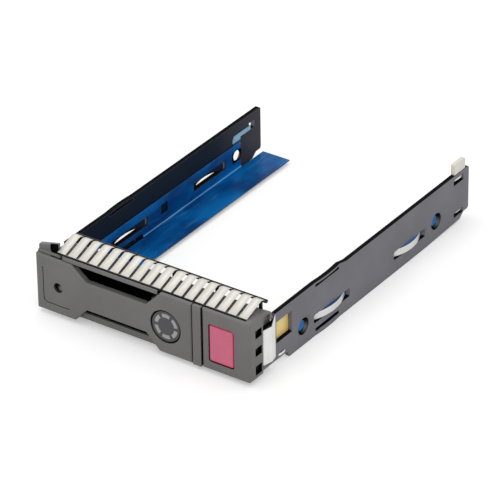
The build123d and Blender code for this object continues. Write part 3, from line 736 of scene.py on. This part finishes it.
@dataclass
class Coil:
    """Round-wire spring with closed ends, wound in the box of the node that it replaces."""

    name: str
    replaces: str
    along: tuple[float, float, float]
    turns: float
    wire_radius: float = 0.22 * MM
    closed_turns: float = 0.9
    closed_rise: float = 1.84
    sides: int = 10
    steps: int = 36

    def centre_line(self) -> list[tuple[Vector, Vector]]:
        """Points along the wire, each with the direction out from the coil's axis."""
        low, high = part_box(self.replaces)
        along = Vector(self.along)
        across = Vector((1, 0, 0))
        third = along.cross(across)
        length = (high - low).dot(along) - 2 * self.wire_radius
        radius = (high.x - low.x) / 2 - self.wire_radius
        count = int(self.turns * self.steps)
        points = []
        for index in range(count + 1):
            share = index / count
            turn = 2 * math.pi * self.turns * share
            out = across * math.cos(turn) + third * math.sin(turn)
            rise = (self._advance(share, length) - 0.5) * length
            points.append(((low + high) / 2 + along * rise + out * radius, out))
        return points

    def _advance(self, share: float, length: float) -> float:
        """Share of the length reached, slow over the closed first and last turns."""
        closed = self.closed_turns / self.turns
        rest = self.closed_rise * self.wire_radius / length
        if share < closed:
            return rest * share / closed
        if share > 1 - closed:
            return 1 - rest * (1 - share) / closed
        return rest + (1 - 2 * rest) * (share - closed) / (1 - 2 * closed)

    def build(self, wire: bpy.types.Material) -> bpy.types.Object:
        """Wind the coil.

        Args:
            wire: Finish of the wire.

        Returns:
            The coil.
        """
        shape = bmesh.new()
        along = Vector(self.along)
        angles = [2 * math.pi * side / self.sides for side in range(self.sides)]
        rings = []
        for middle, out in self.centre_line():
            spokes = (out * math.cos(angle) + along * math.sin(angle) for angle in angles)
            rings.append([shape.verts.new(middle + self.wire_radius * spoke) for spoke in spokes])
        lofted(shape, rings)
        piece = mesh_object(self.name, shape, wire)
        fasten(piece, self.replaces)
        return piece


@dataclass(frozen=True)
class Screw:
    """Machine screw with a cross recess in its head and a thread on its shank."""

    head_radius: float
    head_height: float
    shank_radius: float
    length: float
    flat: bool
    rim: float = 0.15 * MM
    dome: tuple[tuple[float, float], ...] = ((0.72, 1.0), (0.93, 0.8), (1.0, 0.4), (1.0, 0.0))
    pitch: float = 0.45 * MM
    root: float = 0.86
    tip: float = 0.7
    arm: float = 0.52
    waist: float = 0.13
    recess: float = 0.45
    taper: float = 0.8
    segments: int = 32

    def profile(self) -> list[tuple[float, float]]:
        """Half outline from the head's rim to the tip, as radius and height."""
        if self.flat:
            rim = [(self.head_radius, 0.0), (self.head_radius, -self.rim)]
            rows = [*rim, (self.shank_radius, -self.head_height)]
        else:
            rows = [(self.head_radius * across, self.head_height * up) for across, up in self.dome]
            rows.append((self.shank_radius, 0.0))
        height = rows[-1][1]
        while height - self.pitch > -self.length:
            rows.append((self.shank_radius * self.root, height - self.pitch / 2))
            rows.append((self.shank_radius, height - self.pitch))
            height -= self.pitch
        rows.append((self.shank_radius * self.tip, -self.length))
        return rows

    def build(self, shape: bmesh.types.BMesh, place: Matrix) -> None:
        """Add the screw to a mesh.

        Args:
            shape: Mesh that takes the screw.
            place: Where its head's seat is, with Z out of the head.
        """
        def ring(points: Sequence[tuple[float, float]], height: float) -> list[bmesh.types.BMVert]:
            """Vertices of one ring at a height over the seat."""
            return [shape.verts.new(place @ Vector((x, y, height))) for x, y in points]

        def border(loop: Sequence[bmesh.types.BMVert]) -> list[bmesh.types.BMEdge]:
            """Edges of one ring."""
            return [shape.edges.get((loop[i], loop[(i + 1) % len(loop)])) for i in range(len(loop))]

        top = 0.0 if self.flat else self.head_height
        arm, waist, depth = (share * self.head_radius for share in (self.arm, self.waist, self.recess))
        cross = []
        for quarter in range(4):
            turn = Matrix.Rotation(quarter * math.pi / 2, 2)
            cross += [tuple(turn @ Vector(point)) for point in ((waist, waist), (waist, arm), (-waist, arm))]
        mouth = ring(cross, top)
        foot = ring([(x * self.taper, y * self.taper) for x, y in cross], top - depth)
        lofted(shape, [mouth, foot], ends=False)
        shape.faces.new(foot)
        angles = [2 * math.pi * index / self.segments for index in range(self.segments)]
        rings = [
            ring([(radius * math.cos(angle), radius * math.sin(angle)) for angle in angles], height)
            for radius, height in self.profile()
        ]
        lofted(shape, rings, ends=False)
        shape.faces.new(rings[-1])
        bmesh.ops.bridge_loops(shape, edges=border(rings[0]) + border(mouth))


@dataclass
class Bezel:
    """Fixed front: housing, end cap and the small mouldings round the finger strip."""

    grey: Colour = srgb(112, 111, 110)
    # Lighter edges: wear and painted highlight.
    edge: Colour = srgb(150, 149, 150)
    slack: float = 0.06 * MM
    beyond: float = 1.0 * MM
    groove_ends: tuple[float, float] = (0.6 * MM, 0.3 * MM)
    groove_depths: tuple[float, float] = (1.5 * MM, 2.3 * MM)
    groove_drop: float = 1.0 * MM
    inner_left: float = 4.2 * MM
    inner_front: float = 4.85 * MM
    inner_back: float = 3.0 * MM
    floor: float = 0.8 * MM
    roof: float = 5.4 * MM
    recess_span: tuple[float, float] = (-4.2 * MM, 0.5 * MM)
    recess_depths: tuple[float, float] = (3.1 * MM, 3.95 * MM)
    recess_drop: float = 3.0 * MM
    cap_wall: float = 1.2 * MM
    cap_front: float = 3.36 * MM
    cap_side: float = 2.0 * MM
    cap_skin: float = 1.8 * MM
    notch_skin: float = 0.1 * MM
    notch_span: tuple[float, float] = (3.9 * MM, 8.5 * MM)
    notches: tuple[tuple[float, float], ...] = (
        (3.9 * MM, 8.3 * MM),
        (12.8 * MM, 16.7 * MM),
        (21.2 * MM, 25.1 * MM),
    )
    ridge_front: float = 15.0 * MM
    ridge_step: float = 15.85 * MM
    ridge_back: float = 16.3 * MM
    ridge_low: float = 31.9 * MM
    ridge_seat: float = 32.5 * MM
    ridge_top: float = 33.0 * MM
    ridge_overhang: float = 0.8 * MM
    post_foot: float = 26.45 * MM
    post_width: float = 1.4 * MM
    post_fingers: int = 4
    ledge_depths: tuple[float, float] = (2.0 * MM, 3.0 * MM)
    ledge_heights: tuple[float, float] = (28.25 * MM, 29.1 * MM)
    ledge_bevel: tuple[float, float] = (0.2 * MM, 0.3 * MM)
    ledge_right: float = -42.4 * MM

    def build(self, strip: "FingerStrip") -> None:
        """Make the ridge that carries the strip's rear edge and the ledge at the ear's foot.

        Args:
            strip: The finger strip, for the places of its fingers.
        """
        low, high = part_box("bezel_housing")
        strip_low, strip_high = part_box("emi_top_strip")
        start, step, stop = (low.y + depth for depth in (self.ridge_front, self.ridge_step, self.ridge_back))
        ridge = (
            (start, self.ridge_low),
            (stop, self.ridge_low),
            (stop, self.ridge_top),
            (step, self.ridge_top),
            (step, self.ridge_seat),
            (start, self.ridge_seat),
        )
        shape = bmesh.new()
        extruded(shape, ridge, strip_low.x, strip_high.x + self.ridge_overhang)
        foot = low.z + self.post_foot
        post = ((start, foot), (min(high.y, step), foot), (step, self.ridge_low), (start, self.ridge_low))
        for index in range(1, strip.count, self.post_fingers):
            middle = strip.finger(index) + strip.width / 2
            extruded(shape, post, middle - self.post_width / 2, middle + self.post_width / 2)
        # The ridge's near-black colour is painted shade, for the shade under the strip's rear edge.
        dark = MouldedPlastic("shaded_ridge_grain", srgb(24, 24, 25), srgb(52, 52, 54), roughness=0.5)
        fasten(mesh_object("strip_ridge", shape, dark.material()))
        start, stop = (low.y + depth for depth in self.ledge_depths)
        bottom, top = self.ledge_heights
        back, down = self.ledge_bevel
        ledge = ((start, bottom), (stop, bottom), (stop, top), (start + back, top - down))
        shape = bmesh.new()
        extruded(shape, ledge, low.x, self.ledge_right)
        plain = MouldedPlastic("ledge_grain", self.grey, self.edge, roughness=0.42)
        fasten(mesh_object("ear_ledge", shape, plain.material()))

    def shades(self, node: str) -> tuple[Hollow, ...]:
        """Boxes of the housing or the cap that lie in shade.

        Args:
            node: Which of the two.

        Returns:
            The boxes.
        """
        low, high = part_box(node)
        front = low.y
        strip_low, strip_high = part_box("emi_top_strip")
        start, stop = (front + depth for depth in self.groove_depths)
        left, right = self.groove_ends
        groove = Hollow(
            (strip_low.x - left, start, strip_low.z - self.groove_drop),
            (strip_high.x + right, stop, strip_low.z - self.slack),
            blur=0.02 * MM,
        )
        if node == "bezel_housing":
            return groove, *self._housing_shades(low, high, strip_low, strip_high)
        inner = Hollow(
            (low.x + self.cap_wall, front + self.cap_front, low.z + self.cap_wall),
            (high.x - self.cap_skin, high.y + self.beyond, high.z - self.cap_wall),
            blur=0.1 * MM,
        )
        start, stop = self.notch_span
        cuts = [
            Hollow(
                (high.x - self.cap_side - self.beyond, front + start - self.slack, bottom - self.slack),
                (high.x - self.notch_skin, front + stop + self.slack, top + self.slack),
                blur=0.03 * MM,
            )
            for bottom, top in self.notches
        ]
        return groove, inner, *cuts

    def _housing_shades(
        self, low: Vector, high: Vector, strip_low: Vector, strip_high: Vector
    ) -> tuple[Hollow, Hollow]:
        """The room behind the lever and the recess at the strip's left end.

        Args:
            low: Lowest corner of the housing.
            high: Highest corner of the housing.
            strip_low: Lowest corner of the finger strip.
            strip_high: Highest corner of the finger strip.

        Returns:
            Both boxes.
        """
        room = Hollow(
            (low.x + self.inner_left, low.y + self.inner_front, low.z + self.floor),
            (high.x - self.inner_back, high.y - self.inner_back, strip_high.z - self.roof),
            blur=0.3 * MM,
        )
        left, right = (strip_low.x + reach for reach in self.recess_span)
        start, stop = (low.y + depth for depth in self.recess_depths)
        recess = Hollow(
            (left, start, strip_low.z - self.recess_drop),
            (right, stop, high.z + self.beyond),
            blur=0.05 * MM,
        )
        return room, recess

    def dress(self) -> None:
        """Give the moulded pieces their grain, with painted shade inside and in creases."""
        for node, name in (("bezel_housing", "housing_grain"), ("end_cap", "cap_grain")):
            finish = MouldedPlastic(
                name, self.grey, self.edge, roughness=0.42, edge=0.5 * MM,
                hollows=self.shades(node), crevice=2.2 * MM,
            )
            dress(node, finish.material())


@dataclass
class EjectorLever:
    """Swinging front plate."""

    grey: Colour = srgb(112, 111, 110)
    # Lighter edges: wear and painted highlight.
    edge: Colour = srgb(184, 183, 184)
    shade_back: float = 3.1 * MM
    rebate_left: float = 30.0 * MM
    rebate_front: float = 1.5 * MM
    rebate_drop: float = 1.0 * MM
    rebate_slack: float = 0.06 * MM
    dip_left: float = 3.0 * MM
    dip_right: float = -41.0 * MM
    dip_front: float = 1.4 * MM
    dip_drop: float = 2.6 * MM
    dimple_inset: float = 11.4 * MM
    dimple_height: float = 14.8 * MM
    dimple_radius: float = 2.35 * MM

    def dress(self) -> None:
        """Give the lever its grain, with painted shade where the strip's end dips behind it, in creases and in its
        dimple, which has a painted lit side.
        """
        low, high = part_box("ejector_lever")
        strip_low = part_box("emi_top_strip")[0]
        back = low.y + self.shade_back
        ceiling = strip_low.z - self.rebate_drop
        rebate = Hollow(
            (low.x + self.rebate_left, low.y + self.rebate_front, ceiling),
            (high.x + MM, back, strip_low.z - self.rebate_slack),
            blur=0.02 * MM,
        )
        dip = Hollow(
            (strip_low.x - self.dip_left, low.y + self.dip_front, strip_low.z - self.dip_drop),
            (self.dip_right, back, ceiling),
            blur=0.1 * MM,
        )
        dimple = Vector((low.x + self.dimple_inset, low.y, self.dimple_height))
        finish = MouldedPlastic(
            "lever_grain", self.grey, self.edge, roughness=0.4, edge=0.5 * MM, hollows=(rebate, dip),
            sinks=(dimple,), sink_radius=self.dimple_radius, sink_plane=(1.0, 0.0, 1.0),
            sink_shift=Vector((0.9, 0, -0.5)) * MM, sink_light=1.2, crevice=2.2 * MM,
        )
        dress("ejector_lever", finish.material())


@dataclass
class ReleaseButton:
    """Burgundy push button and its spring."""

    burgundy: Colour = srgb(216, 106, 136)
    edge: Colour = srgb(196, 24, 66)
    border: float = 1.15 * MM
    turns: float = 6.5

    def build(self, wire: bpy.types.Material) -> None:
        """Wind the return spring.

        Args:
            wire: Finish of the wire.
        """
        low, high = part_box("button_spring")
        travel = frame_range("button_press")
        piece = Coil("button_return_spring", "button_spring", (0, 1, 0), self.turns).build(wire)
        length = high.y - low.y
        (length - travel) / length
        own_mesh(piece)

    def dress(self) -> None:
        """Give the button its colour."""
        low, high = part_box("release_button")
        inset = Vector((self.border, 0, self.border))
        face = (low + inset - Vector((0, MM, 0)), high - inset, self.edge)
        plastic = MouldedPlastic(
            "burgundy_plastic", self.burgundy, self.edge, roughness=0.38, grain_depth=0.006 * MM, rim=face
        )
        dress("release_button", plastic.material())


@dataclass
class IndicatorRing:
    """Disc, light guide, lamps and the board behind them."""

    grey: Colour = srgb(76, 76, 78)
    edge: Colour = srgb(120, 120, 122)
    segment: Colour = srgb(186, 186, 186)

    def dress(self) -> None:
        """Give the ring and the electronics their finishes."""
        # Painted shade in the disc's creases.
        disc = MouldedPlastic("disc_grain", self.grey, self.edge, roughness=0.4, crevice=1.6 * MM)
        dress("ring_disc", disc.material())
        dress("light_guide", Lamp("smoky_guide", self.segment, 0.2).material())
        dress("board_leds", Lamp("clear_lamp", srgb(236, 234, 220), 0.5).material())
        dress("led_board", CircuitBoard("board_green").material())
        chip = MouldedPlastic("chip_epoxy", srgb(34, 34, 36), srgb(60, 60, 62), roughness=0.55)
        dress("controller_chip", chip.material(), curved=False)
        shell = MouldedPlastic("connector_shell", srgb(222, 214, 196), srgb(236, 230, 216), roughness=0.4)
        dress("flex_connector", shell.material(), curved=False)


@dataclass
class Rails:
    """Side rails, their liners, film, flexible circuit and rear contacts."""

    black: Colour = srgb(127, 127, 133)
    edge: Colour = srgb(150, 150, 156)
    # Painted shade of the rails' inward faces, tinted blue as a painted reflection of the film.
    inner: Colour = srgb(9, 25, 42)
    edge_slots: tuple[tuple[float, float], ...] = ((1.9 * MM, 3.5 * MM), (23.2 * MM, 24.6 * MM))
    slot_span: tuple[float, float] = (48.0 * MM, 65.5 * MM)
    slot_skin: float = 0.2 * MM
    tab_clear: float = 1.0 * MM

    def sinks(self) -> tuple[Vector, ...]:
        """Centres of the rails' countersunk holes, from the mounts."""
        mount = next(entry for entry in frame["record"]["mounts"] if entry["name"] == "drive_holes_right")
        half = mount["dims"]["spacing_x_mm"] / 2 * MM
        return tuple(Vector(mount["pos_m"]) + Vector((0, side * half, 0)) for side in (-1, 1))

    def shades(self) -> tuple[Hollow, ...]:
        """Shaded slots along both edges of the right rail."""
        low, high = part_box("right_rail")
        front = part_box("bezel_housing")[0].y
        start, stop = (front + depth for depth in self.slot_span)
        return tuple(
            Hollow((low.x - MM, start, bottom), (high.x - self.slot_skin, stop, top), blur=0.1 * MM)
            for bottom, top in self.edge_slots
        )

    def dress(self) -> None:
        """Give both sides their finishes."""
        # Painted shade on the top faces, in the countersinks with a painted lit side, in the edge slots, in
        # creases and on the inward faces.
        plastic = MouldedPlastic(
            "rail_black", self.black, self.edge, roughness=0.5, specular=0.08, grain_depth=0.006 * MM,
            shaded_top=True, inner_shade_colour=self.inner, hollows=self.shades(), sinks=self.sinks(),
            sink_shift=Vector((0, 1.8, -1.4)) * MM, sink_light=0.8, crevice=1.6 * MM,
        ).material()
        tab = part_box("right_liner")[1].z + self.tab_clear
        # The liner's inward faces are painted dark as shade.
        steel = RolledSheet(
            "liner_steel", srgb(250, 250, 247), 0.34, Direction.ALONG, metallic=0.4, tab_height=tab,
            inner_shade_colour=srgb(8, 26, 48),
        ).material()
        film = BlueFilm("blue_film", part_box("right_film")[1].x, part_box("right_film")[0].z).material()
        for side in ("left", "right"):
            for piece, finish in (("rail", plastic), ("liner", steel), ("film", film)):
                dress(f"{side}_{piece}", finish)
        dress("flex_cable", AmberFlex("amber_flex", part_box("flex_cable")[0].z).material())
        pale = MouldedPlastic("pale_plastic", srgb(236, 232, 222), srgb(246, 244, 238), roughness=0.35)
        dress("rear_contact_block", pale.material())
        gold = RolledSheet("gold_flash", srgb(226, 190, 110), 0.2, Direction.UPRIGHT)
        dress("rear_contacts", gold.material(), curved=False)


@dataclass
class FingerStrip:
    """Bright strip on top: separate fingers that rise from a foot in the bezel's groove."""

    width: float = 4.0 * MM
    gap: float = 1.35 * MM
    count: int = 18
    thickness: float = 0.2 * MM
    foot: float = 0.35 * MM
    crest: float = 11.0 * MM
    bend: float = 0.9 * MM
    bend_steps: int = 6
    rear_drop: float = 1.1 * MM
    foot_shade: float = 0.1 * MM
    tin: Colour = srgb(242, 238, 229)

    def finger(self, index: int) -> float:
        """Lowest X of one finger."""
        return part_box("emi_top_strip")[0].x + index * (self.width + self.gap)

    def side_line(self) -> list[tuple[float, float]]:
        """Middle line of a finger seen from the side, from its foot to its rear end, as Y and Z."""
        low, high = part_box("emi_top_strip")
        half = self.thickness / 2
        start = Vector((low.y + self.foot, low.z + half))
        top = Vector((low.y + self.crest, high.z - half))
        end = Vector((high.y - half, high.z - self.rear_drop - half))
        before = top + (start - top).normalized() * self.bend
        after = top + (end - top).normalized() * self.bend
        line = [(low.y, low.z + half), (start.x, start.y), tuple(start.lerp(before, 0.5))]
        for index in range(self.bend_steps + 1):
            share = index / self.bend_steps
            line.append(tuple(before.lerp(top, share).lerp(top.lerp(after, share), share)))
        return [*line, (end.x, end.y)]

    def build(self) -> None:
        """Make the strip in place of its plain solid."""
        line = self.side_line()
        shape = bmesh.new()
        columns = []
        for index in range(self.count):
            for x in (self.finger(index), self.finger(index) + self.width):
                columns.append([shape.verts.new((x, y, z)) for y, z in line])
        for index, (first, second) in enumerate(zip(columns, columns[1:])):
            rows = len(line) - 1 if index % 2 == 0 else 1
            for row in range(rows):
                shape.faces.new((first[row], second[row], second[row + 1], first[row + 1]))
        loose = [vertex for vertex in shape.verts if not vertex.link_faces]
        bmesh.ops.delete(shape, geom=loose, context="VERTS")
        # The strip's foot is painted black as shade in the bezel's groove.
        finish = RolledSheet(
            "strip_tin", self.tin, 0.42, Direction.ACROSS, metallic=0.2, foot=line[1][0] + self.foot_shade
        )
        piece = mesh_object("finger_strip", shape, finish.material())
        sheet = piece.modifiers.new("sheet", "SOLIDIFY")
        sheet.thickness = self.thickness
        sheet.offset = 0.0
        fasten(piece, "emi_top_strip")


@dataclass(frozen=True)
class Tab:
    """Bowed end of sheet that shows in a slot of the right rail."""

    name: str
    span: tuple[float, float]
    heights: tuple[float, float]
    depth: float = 0.0
    thickness: float = 0.35 * MM
    bow: float = 0.3 * MM
    steps: int = 8

    def build(self, finish: bpy.types.Material) -> None:
        """Make the tab and fasten it to the chassis.

        Args:
            finish: The sheet's finish.
        """
        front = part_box("bezel_housing")[0].y
        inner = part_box("right_rail")[1].x - self.depth - self.thickness
        start, stop = self.span
        shape = bmesh.new()
        rings = []
        for index in range(self.steps + 1):
            share = index / self.steps
            bow = self.bow * (4 * share * (1 - share) - 1)
            y = front + start + (stop - start) * share
            section = ((0, 0), (self.thickness, 0), (self.thickness, 1), (0, 1))
            rings.append([shape.verts.new((inner + bow + x, y, self.heights[side])) for x, side in section])
        lofted(shape, rings)
        fasten(mesh_object(self.name, shape, finish))


@dataclass
class SideSpring:
    """Bent strip at the bezel's right side, and the bright tabs hooked in the right rail's slots."""

    tin: Colour = srgb(255, 255, 253)
    tabs: tuple[Tab, ...] = (
        Tab("liner_hook", span=(20.9 * MM, 25.6 * MM), heights=(4.3 * MM, 5.2 * MM)),
        Tab("upper_tail_hook", span=(157.2 * MM, 162.7 * MM), heights=(20.6 * MM, 22.5 * MM), depth=1.2 * MM),
        Tab("lower_tail_hook", span=(157.6 * MM, 162.6 * MM), heights=(4.5 * MM, 5.9 * MM), depth=1.2 * MM),
    )

    def build(self) -> None:
        """Dress the strip and make the tabs."""
        finish = RolledSheet("side_strip_tin", self.tin, 0.36, Direction.UPRIGHT, metallic=0.0).material()
        dress("emi_side_spring", finish)
        for tab in self.tabs:
            tab.build(finish)


@dataclass
class Fasteners:
    """Hinge pin, lever spring and screws."""

    rail_screw: Screw = Screw(2.2 * MM, 1.1 * MM, 1.1 * MM, 3.6 * MM, flat=True)
    board_screw: Screw = Screw(1.8 * MM, 1.0 * MM, 0.9 * MM, 4.0 * MM, flat=False)
    turns: float = 8.0

    def build(self, wire: bpy.types.Material, zinc: bpy.types.Material) -> None:
        """Make the lever's spring and the screws.

        Args:
            wire: Finish of the spring wire.
            zinc: Finish of the screws.
        """
        Coil("lever_torsion_spring", "lever_spring", (0, 0, 1), self.turns).build(wire)
        for side, node in ((1, "rail_screws_right"), (-1, "rail_screws_left")):
            self._group(node, self.rail_screw, Matrix.Rotation(side * math.pi / 2, 4, "Y"), zinc)
        self._group("board_screws", self.board_screw, Matrix.Rotation(math.pi / 2, 4, "X"), zinc)
        dress("hinge_pin", zinc)

    def _group(self, node: str, screw: Screw, turn: Matrix, zinc: bpy.types.Material) -> None:
        """Put a detailed screw at each solid of a node.

        Args:
            node: The node whose screws are replaced.
            screw: The screw's sizes.
            turn: Rotation that points the screw's Z out of its head.
            zinc: Finish of the screws.
        """
        out = turn @ Vector((0, 0, 1))
        axis = max(range(3), key=lambda index: abs(out[index]))
        shape = bmesh.new()
        for low, high in islands(frame["nodes"][node].data):
            seat = (low + high) / 2
            face = high if out[axis] > 0 else low
            seat[axis] = face[axis] - out[axis] * (0.0 if screw.flat else screw.head_height)
            screw.build(shape, Matrix.Translation(seat) @ turn)
        fasten(mesh_object(f"{node}_detailed", shape, zinc), node)


def islands(mesh: bpy.types.Mesh) -> list[tuple[Vector, Vector]]:
    """Boxes of the separate solids of a mesh.

    Args:
        mesh: The mesh to split.

    Returns:
        Lowest and highest corner of each solid, in the order of the mesh.
    """
    shape = bmesh.new()
    shape.from_mesh(mesh)
    bmesh.ops.remove_doubles(shape, verts=shape.verts, dist=1e-6)
    left = set(shape.verts)
    boxes = []
    for first in shape.verts:
        if first not in left:
            continue
        stack = [first]
        group = []
        while stack:
            vertex = stack.pop()
            if vertex in left:
                left.discard(vertex)
                group.append(vertex)
                stack += [edge.other_vert(vertex) for edge in vertex.link_edges]
        low = Vector(min(v.co[i] for v in group) for i in range(3))
        high = Vector(max(v.co[i] for v in group) for i in range(3))
        boxes.append((low, high))
    shape.free()
    return boxes


def frame_range(joint: str) -> float:
    """Longest travel of a sliding joint, in metres."""
    return next(max(entry["range_m"]) for entry in frame["joints"] if entry["name"] == joint)


@dataclass
class Studio:
    """White table, soft light and the camera at the photograph's angle."""

    yaw: float = 35.10
    pitch: float = 30.895
    roll: float = -0.788
    lens: float = 272.05
    distance: float = 1575.94 * MM
    aim: tuple[float, float, float] = (11.91 * MM, -22.51 * MM, 20.86 * MM)
    sky: float = 0.72
    key: float = 5.0
    fill: float = 4.2
    table: float = 4.0
    table_gap: float = 0.05 * MM
    paper: tuple[Colour, Colour] = ((0.87, 0.87, 0.87), (0.89, 0.89, 0.89))
    cloud: float = 0.4
    glow: float = 0.32

    def camera(self) -> None:
        """Place the camera that matches the photograph."""
        yaw, pitch, roll = (math.radians(angle) for angle in (self.yaw, self.pitch, self.roll))
        ahead = Vector((-math.sin(yaw) * math.cos(pitch), math.cos(yaw) * math.cos(pitch), -math.sin(pitch)))
        level = Vector((math.cos(yaw), math.sin(yaw), 0))
        down = ahead.cross(level)
        right = math.cos(roll) * level - math.sin(roll) * down
        below = math.sin(roll) * level + math.cos(roll) * down
        turn = Matrix((right, -below, -ahead)).transposed()
        data = bpy.data.cameras.new("photo_camera")
        data.lens = self.lens
        data.clip_end = 20
        camera = bpy.data.objects.new("photo_camera", data)
        camera.matrix_world = Matrix.Translation(Vector(self.aim) - ahead * self.distance) @ turn.to_4x4()
        bpy.context.scene.collection.objects.link(camera)
        bpy.context.scene.camera = camera

    def lamp(self, name: str, place: Sequence[float], size: float, power: float) -> None:
        """Hang one soft square lamp that points at the caddy.

        Args:
            name: The lamp's name.
            place: Where it hangs, in metres.
            size: Its side, in metres.
            power: Its power, in watts.
        """
        data = bpy.data.lights.new(name, "AREA")
        data.size = size
        data.energy = power
        lamp = bpy.data.objects.new(name, data)
        lamp.location = place
        lamp.rotation_euler = (-Vector(place)).to_track_quat("-Z", "Y").to_euler()
        bpy.context.scene.collection.objects.link(lamp)

    def world(self) -> None:
        """Light the scene evenly, with a white background for the camera and in reflections."""
        graph = Graph("studio_white", sky=True)
        path = graph.node("ShaderNodeLightPath")
        white = Value(graph, path.outputs["Is Camera Ray"])
        for ray in ("Is Glossy Ray", "Is Transmission Ray"):
            node = graph.node("ShaderNodeMath", {"operation": "MAXIMUM"}, {0: white, 1: path.outputs[ray]})
            white = Value(graph, node.outputs[0])
        light = {"Color": WHITE, "Strength": self.sky + (1 - self.sky) * white}
        background = graph.node("ShaderNodeBackground", None, light)
        bpy.context.scene.world = graph.close(background.outputs[0])

    def floor(self) -> None:
        """Lay the white table, which keeps the caddy's soft shadow."""
        graph = Graph("white_table")
        path = graph.node("ShaderNodeLightPath")
        shade = graph.blend(graph.noise(self.cloud, 2), *self.paper)
        matte = graph.node("ShaderNodeBsdfDiffuse", None, {"Color": shade})
        glow = graph.node("ShaderNodeEmission", None, {"Color": WHITE, "Strength": self.glow})
        both = graph.node("ShaderNodeAddShader", None, {0: matte.outputs[0], 1: glow.outputs[0]})
        inputs = {0: path.outputs["Is Camera Ray"], 1: matte.outputs[0], 2: both.outputs[0]}
        mix = graph.node("ShaderNodeMixShader", None, inputs)
        shape = bmesh.new()
        bmesh.ops.create_grid(shape, x_segments=4, y_segments=4, size=self.table)
        table = mesh_object("white_table", shape, graph.close(mix.outputs[0]))
        table.location.z = -self.table_gap

    def build(self) -> None:
        """Set up the camera, the table, the sky and the lamps."""
        bpy.context.scene.view_settings.view_transform = "Standard"
        self.camera()
        self.world()
        self.floor()
        self.lamp("overhead", (-0.3, -0.2, 1.6), 1.4, self.key)
        self.lamp("front_fill", (0.9, -1.6, 0.9), 1.0, self.fill)


def main() -> None:
    """Build and dress every sub-assembly, then set up the studio."""
    logging.basicConfig(level=logging.INFO, format="%(message)s")
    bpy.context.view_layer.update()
    drawn = RolledSheet("spring_wire", srgb(190, 190, 192), 0.3, Direction.UPRIGHT, depth=DRAWN_LINE)
    plated = RolledSheet("zinc_plate", srgb(206, 206, 200), 0.32, Direction.UPRIGHT, depth=DRAWN_LINE)
    wire, zinc = drawn.material(), plated.material()
    Studio().build()
    log.info("studio")
    strip = FingerStrip()
    strip.build()
    SideSpring().build()
    log.info("spring strips")
    bezel = Bezel()
    bezel.build(strip)
    bezel.dress()
    log.info("bezel")
    EjectorLever().dress()
    log.info("ejector lever")
    button = ReleaseButton()
    button.build(wire)
    button.dress()
    log.info("release button")
    IndicatorRing().dress()
    log.info("indicator ring")
    Rails().dress()
    log.info("rails")
    Fasteners().build(wire, zinc)
    log.info("fasteners")


if __name__ == "__main__":
    main()
